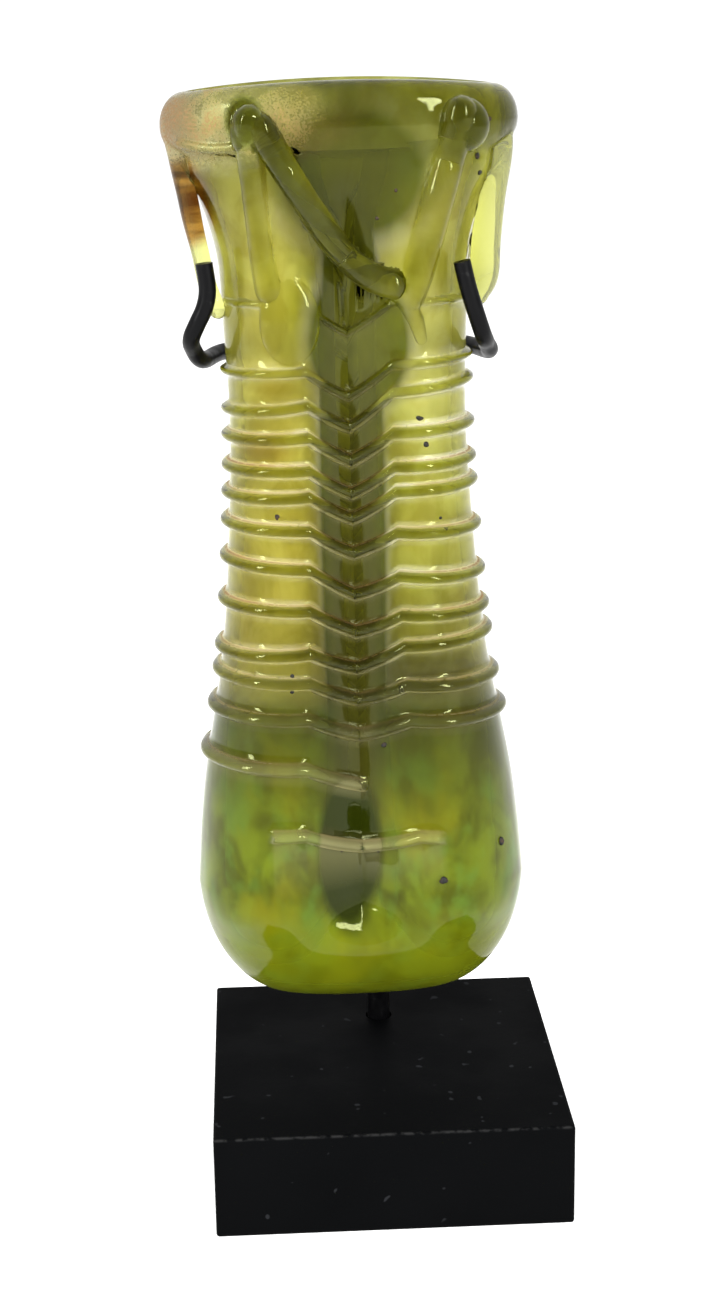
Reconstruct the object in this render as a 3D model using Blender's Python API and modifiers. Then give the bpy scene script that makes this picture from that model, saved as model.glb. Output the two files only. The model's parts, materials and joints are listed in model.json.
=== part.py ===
"""Two-tube glass bottle of late Roman make, held on a block by a rod and a wire cradle.

The bottle is blown glass: two round tubes side by side with a furrow between them, front and back, that open
into one oval mouth. A glass thread winds round the body and a thick trail zigzags between lip and shoulder.
Sizes are in millimetres times MM. The bottle is shaped about its own upright axis, from its underside up, and
is then set on the holder with a slight lean. Its tables follow its height, width and depth.
"""
import bpy
import bmesh
import numpy as np
from math import acos, cos, pi, radians, sin
from mathutils import Matrix

MM = 0.001
FIT_GAP = 0.3 * MM             # clearance between pieces that meet

# Block
BLOCK_WIDTH = 50.0 * MM
BLOCK_DEPTH = 50.0 * MM
BLOCK_HEIGHT = 15.0 * MM
BLOCK_EDGE = 0.4 * MM          # rounded edges
ROD_SOCKET_DEPTH = 9.0 * MM

# Driving sizes of the bottle
LIP_HEIGHT = 123.4 * MM        # from the underside to the lip's widest line
BELLY_HALF_WIDTH = 23.45 * MM
BELLY_HALF_DEPTH = 11.5 * MM
# What one unit of the tables below measures up, across and deep: a millimetre at the sizes above
UP = LIP_HEIGHT / 123.4
ACROSS = BELLY_HALF_WIDTH / 23.45
DEEP = BELLY_HALF_DEPTH / 11.5

# Rod and cradle
ROD_RADIUS = 1.7 * MM
ROD_X = 0.0 * MM
ROD_Y = 12.8 * MM
WIRE_RADIUS = 1.15 * MM
WIRE_STANDOFF = 3.1 * MM       # from the waist's glass to the wire's centre line
CRADLE_RISE = 92.6 * UP        # height of the wire above the bottle's underside, at the back
ROD_ABOVE_WIRE = 0.9 * MM
# Hooks: out from the waist's side, forward of its middle, above the wire at the back, as the tables are
LEFT_HOOK = [(4.3, 3.5, 2.2), (4.3, 5.6, 3.8), (3.5, 6.5, 5.6), (2.4, 6.8, 7.8), (1.9, 6.9, 10.2),
             (2.2, 7.0, 13.6)]
RIGHT_HOOK = [(2.4, 4.0, 1.7), (1.7, 6.5, 3.2), (0.7, 7.8, 6.1), (-0.3, 8.2, 9.4), (-1.1, 8.3, 12.9)]
ARC_POINTS = 9                 # along the back of the cradle

# Placing of the bottle over the block
BOTTLE_X = -2.7 * MM
BOTTLE_LIFT = 11.0 * MM        # air between the block and the bottle's underside
BOTTLE_LEAN = radians(0.72)

# Body: height above the underside, half width, half depth, half thickness across the furrow
BELLY_HEIGHT = 19.5 * UP
FOOT_HALF_WIDTH = 10.0 * ACROSS
FOOT_HALF_DEPTH = 2.0 * DEEP
STATIONS = [(height * UP, width * ACROSS, depth * DEEP, web * DEEP) for height, width, depth, web in (
    (19.5, 23.45, 11.5, 6.6),
    (32.5, 22.0, 11.0, 6.3),
    (51.5, 18.6, 9.6, 5.6),
    (69.0, 16.9, 8.7, 5.2),
    (85.0, 16.1, 8.2, 5.0),
    (97.0, 16.4, 8.4, 5.2),
    (108.0, 17.1, 9.2, 6.0),
    (114.0, 18.9, 10.1, 7.8),
    (118.0, 20.9, 10.9, 9.8),
)]
FURROW_START = 9.5 * UP        # the furrow's rounded lower end
FURROW_FULL = 16.0 * UP
FURROW_FADE = 112.0 * UP       # where the furrow opens out under the mouth
FURROW_END = 121.0 * UP
VALLEY_POWER = 1.1             # how round the furrow is at its bottom
OVAL_POWER = 2.3
OVAL_SPREAD = 0.15             # gathers the outline's points where it turns tightly
COLUMNS = 36
NECK_RINGS = [z * UP for z in (118.0, 115.0, 111.5, 108.0, 104.8)]
FOOT_RINGS = [z * UP for z in (19.0, 14.5, 10.5, 7.0, 4.0, 1.6, 0.0)]

# Lip: a tall rounded bead round the oval mouth, higher in the middle than at its ends
LIP_HALF_WIDTH = 20.1 * ACROSS   # bead's crest line
LIP_HALF_DEPTH = 8.8 * DEEP
LIP_OUT = 3.4 * DEEP             # from the crest line to the widest line
LIP_IN = 1.2 * DEEP              # from the crest line to the inner face
LIP_RISE = 4.3 * UP              # from the widest line to the crest at the lip's ends
LIP_ARCH = 1.1 * UP              # how much higher the crest is in the middle
LIP_UNDERSIDE = radians(-30.0)
LIP_STEPS = 4
MOUTH_EDGE = 0.25 * DEEP         # flat left on the crest
MOUTH_ANGLES = [radians(a) for a in (65.0, 32.0, 0.0)]

# Hollow: each tube narrows and its glass thickens towards a rounded bottom
WALL = 1.9 * DEEP
PARTITION = 5.6 * DEEP
PARTITION_TOP = 120.5 * UP
FILL_TOP = 46.0 * UP           # where the glass begins to thicken
BORE_TURN = 16.0 * UP          # where the rounded bottom begins
BOTTOM_THICKNESS = 6.5 * UP
BELLY_WALL = 3.9 * DEEP
BELLY_PARTITION = 8.0 * DEEP
BORE_LEVELS = [z * UP for z in (121.3, 113.0, 101.0, 85.0, 68.0, 51.5, 40.0, 30.0, 22.0, 16.0)]
BORE_SIDES = 16
BOTTOM_STEPS = 4
BOTTOM_SHARE = 0.3             # the lowest ring's share of the tube's width

# Wound thread: heights of each turn at the left and the right edge
THREAD_LEFT = [h * UP for h in (100.8, 91.4, 86.2, 82.6, 78.4, 74.7, 70.8, 65.8, 59.8, 53.1, 49.8, 44.7, 38.1,
                                28.2, 24.6)]
THREAD_RIGHT = [h * UP for h in (100.4, 92.6, 89.4, 83.4, 78.6, 75.4, 69.2, 62.8, 57.8, 54.3, 48.1, 43.1, 34.6,
                                 26.4)]
THREAD_PROUD = 1.25 * UP
THREAD_FOOT = 1.0 * UP         # half width where the thread meets the body
THREAD_CREST = 0.4 * UP        # half width of its top
BEAD_ROWS = [(THREAD_FOOT, 0.0), (THREAD_CREST, 1.0), (-THREAD_CREST, 1.0), (-THREAD_FOOT, 0.0)]
FINE_TURNS = {0: 0.55, 1: 0.75}
FIRST_TURN_START, FIRST_TURN_FULL = 0.02, 0.08   # shares of a turn over which the thread begins
DIP_TOP = 4.3 * UP             # how far the thread sags in the furrow, at the first turn
DIP_BOTTOM = 3.0 * UP
DIP_WIDTH = 6.0 * ACROSS
DIP_POWER = 1.2
LAST_TURN = 12                 # breaks off in the front furrow
LAST_TURN_END = 0.8 * ACROSS
REMNANT_TURN = 13              # a loose length left on the front only
REMNANT_FROM = -9.7 * ACROSS
REMNANT_TO = 8.5 * ACROSS

# Zigzag trail on the front: across, height, distance of the strand's middle from the glass, radius
LEFT_STRAND = [(-21.4, 123.2, 0.2, 2.0), (-21.0, 120.0, 0.6, 1.6), (-20.4, 115.5, 1.6, 1.4),
               (-19.7, 111.0, 2.1, 1.3), (-18.9, 107.0, 1.8, 1.2), (-18.2, 103.0, 1.4, 1.2),
               (-17.0, 99.6, 0.4, 1.2)]
LEFT_STRAND_FORWARD = 2.6 * DEEP
FIRST_FALL = [(-11.8, 124.0, 0.6, 2.2), (-11.8, 120.2, 0.5, 1.9), (-11.4, 114.2, 0.2, 1.7),
              (-10.9, 107.8, 0.1, 1.7), (-10.2, 102.6, 0.1, 1.8)]
CORD = [(-10.4, 123.2, 0.8, 2.0), (-7.8, 118.5, 0.9, 1.9), (-5.3, 114.4, 0.9, 1.85), (-2.2, 109.4, 1.0, 1.85),
        (0.1, 106.4, 1.5, 1.85), (3.1, 104.0, 1.3, 1.95), (6.0, 102.9, 0.8, 2.05)]
SECOND_RISE = [(8.2, 101.0, 0.2, 1.9), (9.2, 104.0, 0.1, 2.2), (10.5, 108.6, 0.1, 2.3), (12.3, 115.0, 0.2, 2.3),
               (14.0, 120.6, 0.4, 2.2), (15.0, 124.2, 0.5, 2.2)]
DRIP = [(7.2, 101.2, 0.3, 1.2), (8.8, 98.4, 0.3, 1.1), (9.6, 95.6, 0.2, 0.8)]
RIGHT_STRAND = [(20.6, 123.0, 0.2, 2.1), (20.4, 118.5, 0.6, 2.0), (19.6, 113.0, 1.4, 1.9),
                (18.9, 107.5, 1.3, 2.0), (18.5, 103.0, 1.2, 2.0), (17.6, 100.6, 0.6, 1.6)]
RIGHT_STRAND_FORWARD = 3.0 * DEEP
LIP_THREAD = [(-20.6, 121.4, 0.4, 0.8), (-17.0, 120.8, 0.3, 0.7), (-13.0, 120.9, 0.3, 0.8)]
REAR_ZIGZAG = [(20.6, 122.5, 0.4, 1.9), (17.6, 112.0, 0.2, 1.7), (14.0, 101.8, 0.3, 1.8),
               (10.6, 112.0, 0.3, 1.7), (7.2, 122.0, 0.5, 1.9), (3.4, 112.0, 0.6, 1.7), (-0.6, 102.6, 1.0, 1.9),
               (-4.6, 112.0, 0.6, 1.7), (-8.4, 122.0, 0.5, 1.9), (-11.6, 112.0, 0.3, 1.7),
               (-14.4, 102.0, 0.3, 1.8)]
# Flattened ends of the trail: across, height, half width, half height, half thickness
PADS = [(-7.6, 98.4, 4.0, 5.8, 1.5), (-11.6, 122.6, 2.8, 3.4, 2.4), (15.2, 122.8, 3.6, 3.6, 2.6)]
STRAND_STEPS = 2               # points between two of a strand's own points
FINE_STRAND = 1.7 * DEEP       # a strand thinner than this gets fewer sides

COLOURS = {
    "glass_bottle": ((0.42, 0.5, 0.06, 1.0), 0.08, 0.0),
    "cradle": ((0.012, 0.012, 0.013, 1.0), 0.35, 0.0),
    "base_block": ((0.008, 0.008, 0.009, 1.0), 0.55, 0.0),
}


def material(name):
    """Plain finish of one piece: colour, roughness and metal from COLOURS."""
    colour, roughness, metallic = COLOURS[name]
    made = bpy.data.materials.new(name)
    made.use_nodes = True
    shader = made.node_tree.nodes["Principled BSDF"]
    shader.inputs["Base Color"].default_value = colour
    shader.inputs["Roughness"].default_value = roughness
    shader.inputs["Metallic"].default_value = metallic
    return made


def add_object(name, mesh, collection):
    made = bpy.data.objects.new(name, mesh)
    collection.objects.link(made)
    return made


def add_cutter(name, mesh, collection):
    """A body that only shapes another: kept out of the pieces' collection and out of the render."""
    made = add_object(name, mesh, collection)
    made.hide_render = True
    made.display_type = 'WIRE'
    return made


def boolean(target, tools, operation):
    """Join the bodies in the collection `tools` to the target, or cut them from it, all at once."""
    change = target.modifiers.new(tools.name, 'BOOLEAN')
    change.operation = operation
    change.solver = 'EXACT'
    change.operand_type = 'COLLECTION'
    change.collection = tools


def smooth_step(value, low, high):
    share = np.clip((value - low) / (high - low), 0.0, 1.0)
    return share * share * (3.0 - 2.0 * share)


def through(heights, stations, column):
    """Smooth curve through the stations: cubic pieces whose slopes come from the two neighbours."""
    z = np.array([s[0] for s in stations])
    v = np.array([s[column] for s in stations])
    slope = np.gradient(v, z)
    i = np.clip(np.searchsorted(z, heights) - 1, 0, len(z) - 2)
    span = z[i + 1] - z[i]
    t = np.clip((heights - z[i]) / span, 0.0, 1.0)
    return ((2 * t ** 3 - 3 * t ** 2 + 1) * v[i] + (t ** 3 - 2 * t ** 2 + t) * span * slope[i]
            + (3 * t ** 2 - 2 * t ** 3) * v[i + 1] + (t ** 3 - t ** 2) * span * slope[i + 1])


def body_sizes(z):
    """Half width, half depth, furrow half thickness and share of furrow at the heights z."""
    z = np.asarray(z, dtype=float)
    rise = np.sqrt(1.0 - (1.0 - np.clip(z / BELLY_HEIGHT, 0.0, 1.0)) ** 2)
    width = np.where(z < BELLY_HEIGHT, FOOT_HALF_WIDTH + (STATIONS[0][1] - FOOT_HALF_WIDTH) * rise,
                     through(z, STATIONS, 1))
    depth = np.where(z < BELLY_HEIGHT, FOOT_HALF_DEPTH + (STATIONS[0][2] - FOOT_HALF_DEPTH) * rise,
                     through(z, STATIONS, 2))
    web = through(z, STATIONS, 3)
    furrow = smooth_step(z, FURROW_START, FURROW_FULL) * (1.0 - smooth_step(z, FURROW_FADE, FURROW_END))
    return width, depth, web, furrow


def half_thickness(x, width, depth, web, furrow):
    """Depth of the section at x: two tubes that fall to a furrow between them, or an oval where there is none."""
    across = np.minimum(np.abs(x), width)
    centre = width - depth
    tube = np.sqrt(np.clip(depth ** 2 - (across - centre) ** 2, 0.0, None))
    share = np.clip(across / np.maximum(centre, MM), 0.0, 1.0)
    valley = web + (depth - web) * np.sin(share * pi / 2) ** VALLEY_POWER
    tubes = np.where(across < centre, valley, tube)
    oval = depth * np.clip(1.0 - (across / width) ** OVAL_POWER, 0.0, None) ** (1.0 / OVAL_POWER)
    return furrow * tubes + (1.0 - furrow) * oval


def outline(turn, z):
    """Points of the body at the share `turn` round it (0 left edge, 0.25 front, 0.5 right) and height z."""
    width, depth, web, furrow = body_sizes(z)
    side = 2.0 * pi * turn
    x = -width * np.cos(side + OVAL_SPREAD * np.sin(2.0 * side))
    front = np.where(np.mod(turn, 1.0) < 0.5, -1.0, 1.0)
    return x, front * half_thickness(x, width, depth, web, furrow)


def proud_outline(turn, z, lift):
    """The outline moved out along its own normal by lift."""
    step = 1e-3
    x, y = outline(turn, z)
    x0, y0 = outline(turn - step, z)
    x1, y1 = outline(turn + step, z)
    tangent = np.stack([x1 - x0, y1 - y0])
    length = np.maximum(np.hypot(*tangent), 1e-9)
    return x + lift * tangent[1] / length, y - lift * tangent[0] / length


def thread_rows():
    """Rows of the body that follow the wound thread: foot, crest, crest, foot for each turn.

    Going round from the left edge by the front, a turn falls from its left to its right height, then by the
    back to the next turn's left height, and sags where it crosses the furrow.
    """
    turn = np.arange(COLUMNS + 1) / COLUMNS
    x, _ = outline(turn, STATIONS[3][0])
    front_half = turn <= 0.5
    rows = []
    for number, (left, right) in enumerate(zip(THREAD_LEFT, THREAD_RIGHT)):
        down = THREAD_LEFT[number + 1]
        middle = np.where(front_half, left + (right - left) * smooth_step(turn, 0.0, 0.5),
                          right + (down - right) * smooth_step(turn, 0.5, 1.0))
        dip = DIP_TOP + (DIP_BOTTOM - DIP_TOP) * number / (len(THREAD_RIGHT) - 1)
        middle = middle - dip * np.maximum(0.0, 1.0 - (np.abs(x) / DIP_WIDTH) ** DIP_POWER)
        lift = np.full(COLUMNS + 1, THREAD_PROUD * FINE_TURNS.get(number, 1.0))
        if number == 0:
            lift = lift * smooth_step(turn, FIRST_TURN_START, FIRST_TURN_FULL)
        if number == LAST_TURN:
            lift = lift * ((x < LAST_TURN_END) & front_half)
        if number == REMNANT_TURN:
            lift = lift * ((x > REMNANT_FROM) & (x < REMNANT_TO) & front_half)
        for offset, share in BEAD_ROWS:
            height = middle + offset
            px, py = proud_outline(turn, height, lift * share)
            rows.append(np.stack([px, py, height], axis=1))
    return rows


def ring(z):
    """Closed ring of the plain body at height z."""
    turn = np.arange(COLUMNS) / COLUMNS
    x, y = outline(turn, np.full(COLUMNS, z))
    return np.stack([x, y, np.full(COLUMNS, z)], axis=1)


def oval_ring(width, depth, z, sides, centre_x=0.0, power=OVAL_POWER, start=0.0):
    """Rounded oval of the given half sizes, whose first point lies `start` steps past its left end."""
    side = 2.0 * pi * (np.arange(sides) + start) / sides
    c, s = np.cos(side), np.sin(side)
    x = centre_x - width * np.sign(c) * np.abs(c) ** (2.0 / power)
    y = -depth * np.sign(s) * np.abs(s) ** (2.0 / power)
    return np.stack([x, y, np.full(sides, z)], axis=1)


def lip_ring(angle, reach):
    """Ring of the lip's bead: at `angle` above its widest line, reaching out from the crest line or in."""
    points = oval_ring(LIP_HALF_WIDTH + reach * cos(angle), LIP_HALF_DEPTH + reach * cos(angle), 0.0, COLUMNS)
    arch = 1.0 - (points[:, 0] / LIP_HALF_WIDTH) ** 2
    points[:, 2] = LIP_HEIGHT + (LIP_RISE + LIP_ARCH * np.maximum(arch, 0.0)) * sin(angle)
    return points


def loft(name, rings):
    """Closed mesh from rings listed from top to bottom, each end filled."""
    build = bmesh.new()
    loops = [[build.verts.new(p) for p in points] for points in rings]
    for upper, lower in zip(loops, loops[1:]):
        for i in range(len(upper)):
            j = (i + 1) % len(upper)
            build.faces.new((upper[i], lower[i], lower[j], upper[j]))
    build.faces.new(loops[0])
    build.faces.new(list(reversed(loops[-1])))
    return finished_mesh(name, build)


def finished_mesh(name, build):
    bmesh.ops.recalc_face_normals(build, faces=build.faces)
    mesh = bpy.data.meshes.new(name)
    build.to_mesh(mesh)
    build.free()
    return mesh


def body_mesh():
    """Outer skin: plain rings above and below, and between them a sheet that winds with the thread.

    The sheet's right edge joins its left edge one turn lower, so the thread is one spiral with no step.
    """
    per_turn = len(BEAD_ROWS)
    sheet = thread_rows()
    crest = lip_ring(pi / 2, LIP_OUT)
    upper = [crest * (1.0 - LIP_OUT / LIP_HALF_WIDTH, 1.0 - LIP_OUT / LIP_HALF_WIDTH, 1.0), crest]
    upper += [lip_ring(angle, LIP_OUT) for angle in np.linspace(pi / 2, LIP_UNDERSIDE, LIP_STEPS + 1)[1:]]
    upper += [ring(z) for z in NECK_RINGS]
    lower = [ring(z) for z in FOOT_RINGS]

    build = bmesh.new()
    tops = [[build.verts.new(p) for p in points] for points in upper]
    bottoms = [[build.verts.new(p) for p in points] for points in lower]
    grid = [[build.verts.new(p) for p in row[:COLUMNS]] for row in sheet]
    tail = [build.verts.new(row[COLUMNS]) for row in sheet[-per_turn:]]
    for r, row in enumerate(grid):
        seam = r + per_turn
        row.append(grid[seam][0] if seam < len(grid) else tail[seam - len(grid)])

    def band(above, below):
        for i in range(COLUMNS):
            build.faces.new((above[i], below[i], below[i + 1], above[i + 1]))

    for above, below in zip(tops, tops[1:]):
        band(above + above[:1], below + below[:1])
    for above, below in zip(bottoms, bottoms[1:]):
        band(above + above[:1], below + below[:1])
    for above, below in zip(grid, grid[1:]):
        band(above, below)
    rim = tops[-1]
    for i in range(COLUMNS - 1):
        build.faces.new((rim[i], grid[0][i], grid[0][i + 1], rim[i + 1]))
    build.faces.new([rim[-1], grid[0][COLUMNS - 1]] + [grid[r][0] for r in range(per_turn, -1, -1)] + [rim[0]])
    last, base = grid[-1], bottoms[0]
    for i in range(1, COLUMNS):
        build.faces.new((last[i], base[i], base[(i + 1) % COLUMNS], last[i + 1]))
    build.faces.new([last[0]] + tail[:per_turn] + [base[0], base[1], last[1]])
    build.faces.new(tops[0])
    build.faces.new(bottoms[-1])
    return finished_mesh("glass_bottle", build)


def bore_sizes(z):
    """Distance from the middle, half width and half depth of a tube's hollow at the heights z."""
    width, depth, _, _ = body_sizes(z)
    thick = 1.0 - smooth_step(z, BORE_TURN, FILL_TOP)
    wall = WALL + (BELLY_WALL - WALL) * thick
    partition = PARTITION + (BELLY_PARTITION - PARTITION) * thick
    across = (width - wall - partition / 2) / 2
    return partition / 2 + across, across, depth - wall


def bore_mesh(side):
    """Inside of one tube: narrows as its glass thickens, is rounded at the bottom and opens into the mouth."""
    rings = [(*bore_sizes(z), z) for z in BORE_LEVELS]
    centre, across, depth, top = rings[-1]
    last = acos(BOTTOM_SHARE)
    for k in range(1, BOTTOM_STEPS + 1):
        angle = last * k / BOTTOM_STEPS
        sunk = top - (top - BOTTOM_THICKNESS) * sin(angle) / sin(last)
        rings.append((centre, across * cos(angle), depth * cos(angle), sunk))
    return loft("tube_inside", [
        oval_ring(float(across), float(depth), z, BORE_SIDES, side * float(centre), 2.0, 0.5)
        for centre, across, depth, z in rings])


def mouth_mesh():
    """Inside of the mouth: from over the lip, round its inner edge and down to the partition's top."""
    rings = [oval_ring(LIP_HALF_WIDTH - MOUTH_EDGE, LIP_HALF_DEPTH - MOUTH_EDGE, LIP_HEIGHT + 2 * LIP_RISE,
                       COLUMNS)]
    rings += [lip_ring(angle, -LIP_IN) for angle in MOUTH_ANGLES]
    width, depth, _, _ = (float(v) for v in body_sizes(PARTITION_TOP))
    rings.append(oval_ring(width - WALL + FIT_GAP, depth - WALL + FIT_GAP, PARTITION_TOP, COLUMNS))
    return loft("mouth_inside", rings)


def smooth_route(points, steps):
    """Catmull-Rom curve through the points, as rows of four values."""
    points = np.array(points, dtype=float)
    padded = np.vstack([2 * points[0] - points[1], points, 2 * points[-1] - points[-2]])
    out = []
    for i in range(1, len(padded) - 2):
        p0, p1, p2, p3 = padded[i - 1:i + 3]
        for k in range(steps):
            t = k / steps
            out.append(0.5 * (2 * p1 + (p2 - p0) * t + (2 * p0 - 5 * p1 + 4 * p2 - p3) * t ** 2
                              + (3 * p1 - p0 - 3 * p2 + p3) * t ** 3))
    out.append(padded[-2])
    return out


def tube_mesh(name, centres, radii, resolution):
    """Round rod along the centres, as a closed mesh."""
    data = bpy.data.curves.new(name, 'CURVE')
    data.dimensions = '3D'
    data.bevel_depth = 1.0
    data.bevel_resolution = resolution
    data.use_fill_caps = True
    spline = data.splines.new('POLY')
    spline.points.add(len(centres) - 1)
    for point, centre, radius in zip(spline.points, centres, radii):
        point.co = (*centre, 1.0)
        point.radius = radius
    curve = add_object(name, data, trails)
    bpy.context.view_layer.update()
    mesh = bpy.data.meshes.new_from_object(curve.evaluated_get(bpy.context.evaluated_depsgraph_get()))
    mesh.transform(curve.matrix_world)
    bpy.data.objects.remove(curve)
    build = bmesh.new()
    build.from_mesh(mesh)
    bpy.data.meshes.remove(mesh)
    bmesh.ops.remove_doubles(build, verts=build.verts, dist=1e-6)
    return finished_mesh(name, build)


def glass_surface(x, z):
    """Depth of the body's front skin at x and z, along the lip's bead too."""
    width, depth, web, furrow = body_sizes(z)
    if z > STATIONS[-1][0]:
        share = min((z - STATIONS[-1][0]) / (LIP_HEIGHT - STATIONS[-1][0]), 1.0)
        width = width + (LIP_HALF_WIDTH + LIP_OUT - width) * share
        depth = depth + (LIP_HALF_DEPTH + LIP_OUT - depth) * share
        furrow = 0.0
    return float(half_thickness(np.array(x), width, depth, web, furrow))


def strand_mesh(name, route, facing, forward=None):
    """A strand laid on the front (facing -1) or the back (+1); `forward` sets a free strand's own depth."""
    centres, radii = [], []
    for x, z, standoff, radius in smooth_route(np.array(route) * (ACROSS, UP, DEEP, DEEP), STRAND_STEPS):
        depth = forward if forward is not None else glass_surface(x, z) + standoff
        centres.append((x, facing * depth, z))
        radii.append(radius)
    return tube_mesh(name, centres, radii, 1 if max(radii) < FINE_STRAND else 2)


def pad_mesh(name, across, height, half_width, half_height, half_thick):
    """Flattened blob of glass on the front skin."""
    build = bmesh.new()
    bmesh.ops.create_uvsphere(build, u_segments=12, v_segments=7, radius=1.0)
    place = Matrix.Translation((across, -glass_surface(across, height), height))
    build.transform(place @ Matrix.Diagonal((half_width, half_thick, half_height, 1.0)))
    return finished_mesh(name, build)


def make_bottle():
    bottle = add_object("glass_bottle", body_mesh(), pieces)
    bottle.data.materials.append(material("glass_bottle"))
    additions = [
        ("first_fall", strand_mesh("first_fall", FIRST_FALL, -1)),
        ("cord", strand_mesh("cord", CORD, -1)),
        ("second_rise", strand_mesh("second_rise", SECOND_RISE, -1)),
        ("drip", strand_mesh("drip", DRIP, -1)),
        ("left_strand", strand_mesh("left_strand", LEFT_STRAND, -1, LEFT_STRAND_FORWARD)),
        ("right_strand", strand_mesh("right_strand", RIGHT_STRAND, -1, RIGHT_STRAND_FORWARD)),
        ("lip_thread", strand_mesh("lip_thread", LIP_THREAD, -1)),
        ("rear_zigzag", strand_mesh("rear_zigzag", REAR_ZIGZAG, 1)),
    ]
    for number, sizes in enumerate(PADS):
        name = "pad_%d" % (number + 1)
        additions.append((name, pad_mesh(name, *(np.array(sizes) * (ACROSS, UP, ACROSS, UP, DEEP)))))
    for name, mesh in additions:
        add_cutter(name, mesh, trails)
    add_cutter("mouth_inside", mouth_mesh(), hollows)
    add_cutter("tube_inside_left", bore_mesh(-1.0), hollows)
    add_cutter("tube_inside_right", bore_mesh(1.0), hollows)
    boolean(bottle, trails, 'UNION')
    boolean(bottle, hollows, 'DIFFERENCE')
    place = bottle_place()
    bottle.matrix_world = place
    for tool in list(trails.objects) + list(hollows.objects):
        tool.matrix_world = place
    bottle.data.shade_smooth()
    bottle.data.set_sharp_from_angle(angle=radians(40.0))
    return bottle


def cradle_route():
    """Middle line of the bent wire, hook to hook round the back of the waist, in the bottle's own axes."""
    waist_width, waist_depth, _, _ = (float(v) for v in body_sizes(CRADLE_RISE))
    turn = np.linspace(1.0, 0.5, ARC_POINTS)
    x, y = proud_outline(turn, np.full(ARC_POINTS, CRADLE_RISE), WIRE_STANDOFF)
    y = np.where(np.abs(x) < waist_width - waist_depth, waist_depth + WIRE_STANDOFF, y)
    arc = [(across, back, CRADLE_RISE) for across, back in zip(x, y)]
    left = [(-waist_width - out * ACROSS, -forward * DEEP, CRADLE_RISE + up * UP)
            for out, forward, up in LEFT_HOOK]
    right = [(waist_width + out * ACROSS, -forward * DEEP, CRADLE_RISE + up * UP)
             for out, forward, up in RIGHT_HOOK]
    return smooth_route(left[::-1] + arc + right, STRAND_STEPS)


def make_cradle():
    """Rod that stands in the block, with the bent wire soldered across its top."""
    route = cradle_route()
    wire = tube_mesh("bent_wire", route, [WIRE_RADIUS] * len(route), 3)
    wire.transform(bottle_place())
    foot = BLOCK_HEIGHT - ROD_SOCKET_DEPTH + FIT_GAP
    top = BLOCK_HEIGHT + BOTTLE_LIFT + CRADLE_RISE + ROD_ABOVE_WIRE
    build = bmesh.new()
    bmesh.ops.create_cone(build, cap_ends=True, segments=20, radius1=ROD_RADIUS, radius2=ROD_RADIUS,
                          depth=top - foot)
    build.transform(Matrix.Translation((ROD_X, ROD_Y, (top + foot) / 2)))
    cradle = add_object("cradle", finished_mesh("cradle", build), pieces)
    cradle.data.materials.append(material("cradle"))
    add_cutter("bent_wire", wire, wires)
    boolean(cradle, wires, 'UNION')
    cradle.data.shade_smooth()
    cradle.data.set_sharp_from_angle(angle=radians(40.0))
    return cradle


def make_block():
    """Square block with softened edges and a blind hole for the rod."""
    build = bmesh.new()
    bmesh.ops.create_cube(build, size=1.0)
    build.transform(Matrix.Diagonal((BLOCK_WIDTH, BLOCK_DEPTH, BLOCK_HEIGHT, 1.0)))
    build.transform(Matrix.Translation((0.0, 0.0, BLOCK_HEIGHT / 2)))
    block = add_object("base_block", finished_mesh("base_block", build), pieces)
    block.data.materials.append(material("base_block"))
    edges = block.modifiers.new("edges", 'BEVEL')
    edges.width = BLOCK_EDGE
    edges.segments = 2
    socket = bmesh.new()
    bmesh.ops.create_cone(socket, cap_ends=True, segments=20, radius1=ROD_RADIUS + FIT_GAP,
                          radius2=ROD_RADIUS + FIT_GAP, depth=2 * ROD_SOCKET_DEPTH)
    socket.transform(Matrix.Translation((ROD_X, ROD_Y, BLOCK_HEIGHT)))
    add_cutter("rod_socket", finished_mesh("rod_socket", socket), sockets)
    boolean(block, sockets, 'DIFFERENCE')
    return block


def bottle_place():
    lift = Matrix.Translation((BOTTLE_X, 0.0, BLOCK_HEIGHT + BOTTLE_LIFT))
    return lift @ Matrix.Rotation(-BOTTLE_LEAN, 4, 'Y')


for old in list(bpy.data.objects):
    bpy.data.objects.remove(old)
pieces = bpy.data.collections.new("roman_glass_bottle")
trails = bpy.data.collections.new("trail_cutters")
hollows = bpy.data.collections.new("hollow_cutters")
wires = bpy.data.collections.new("wire_cutters")
sockets = bpy.data.collections.new("socket_cutters")
for collection in (pieces, trails, hollows, wires, sockets):
    bpy.context.scene.collection.children.link(collection)
make_block()
make_cradle()
make_bottle()
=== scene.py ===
"""Two-tube glass flask with wound thread and zigzag trail, in a wire cradle on a square black block."""
import json
from functools import reduce
from math import cos, pi, radians, sin

import bmesh
import bpy
import numpy as np
from mathutils import Matrix, Vector

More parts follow.
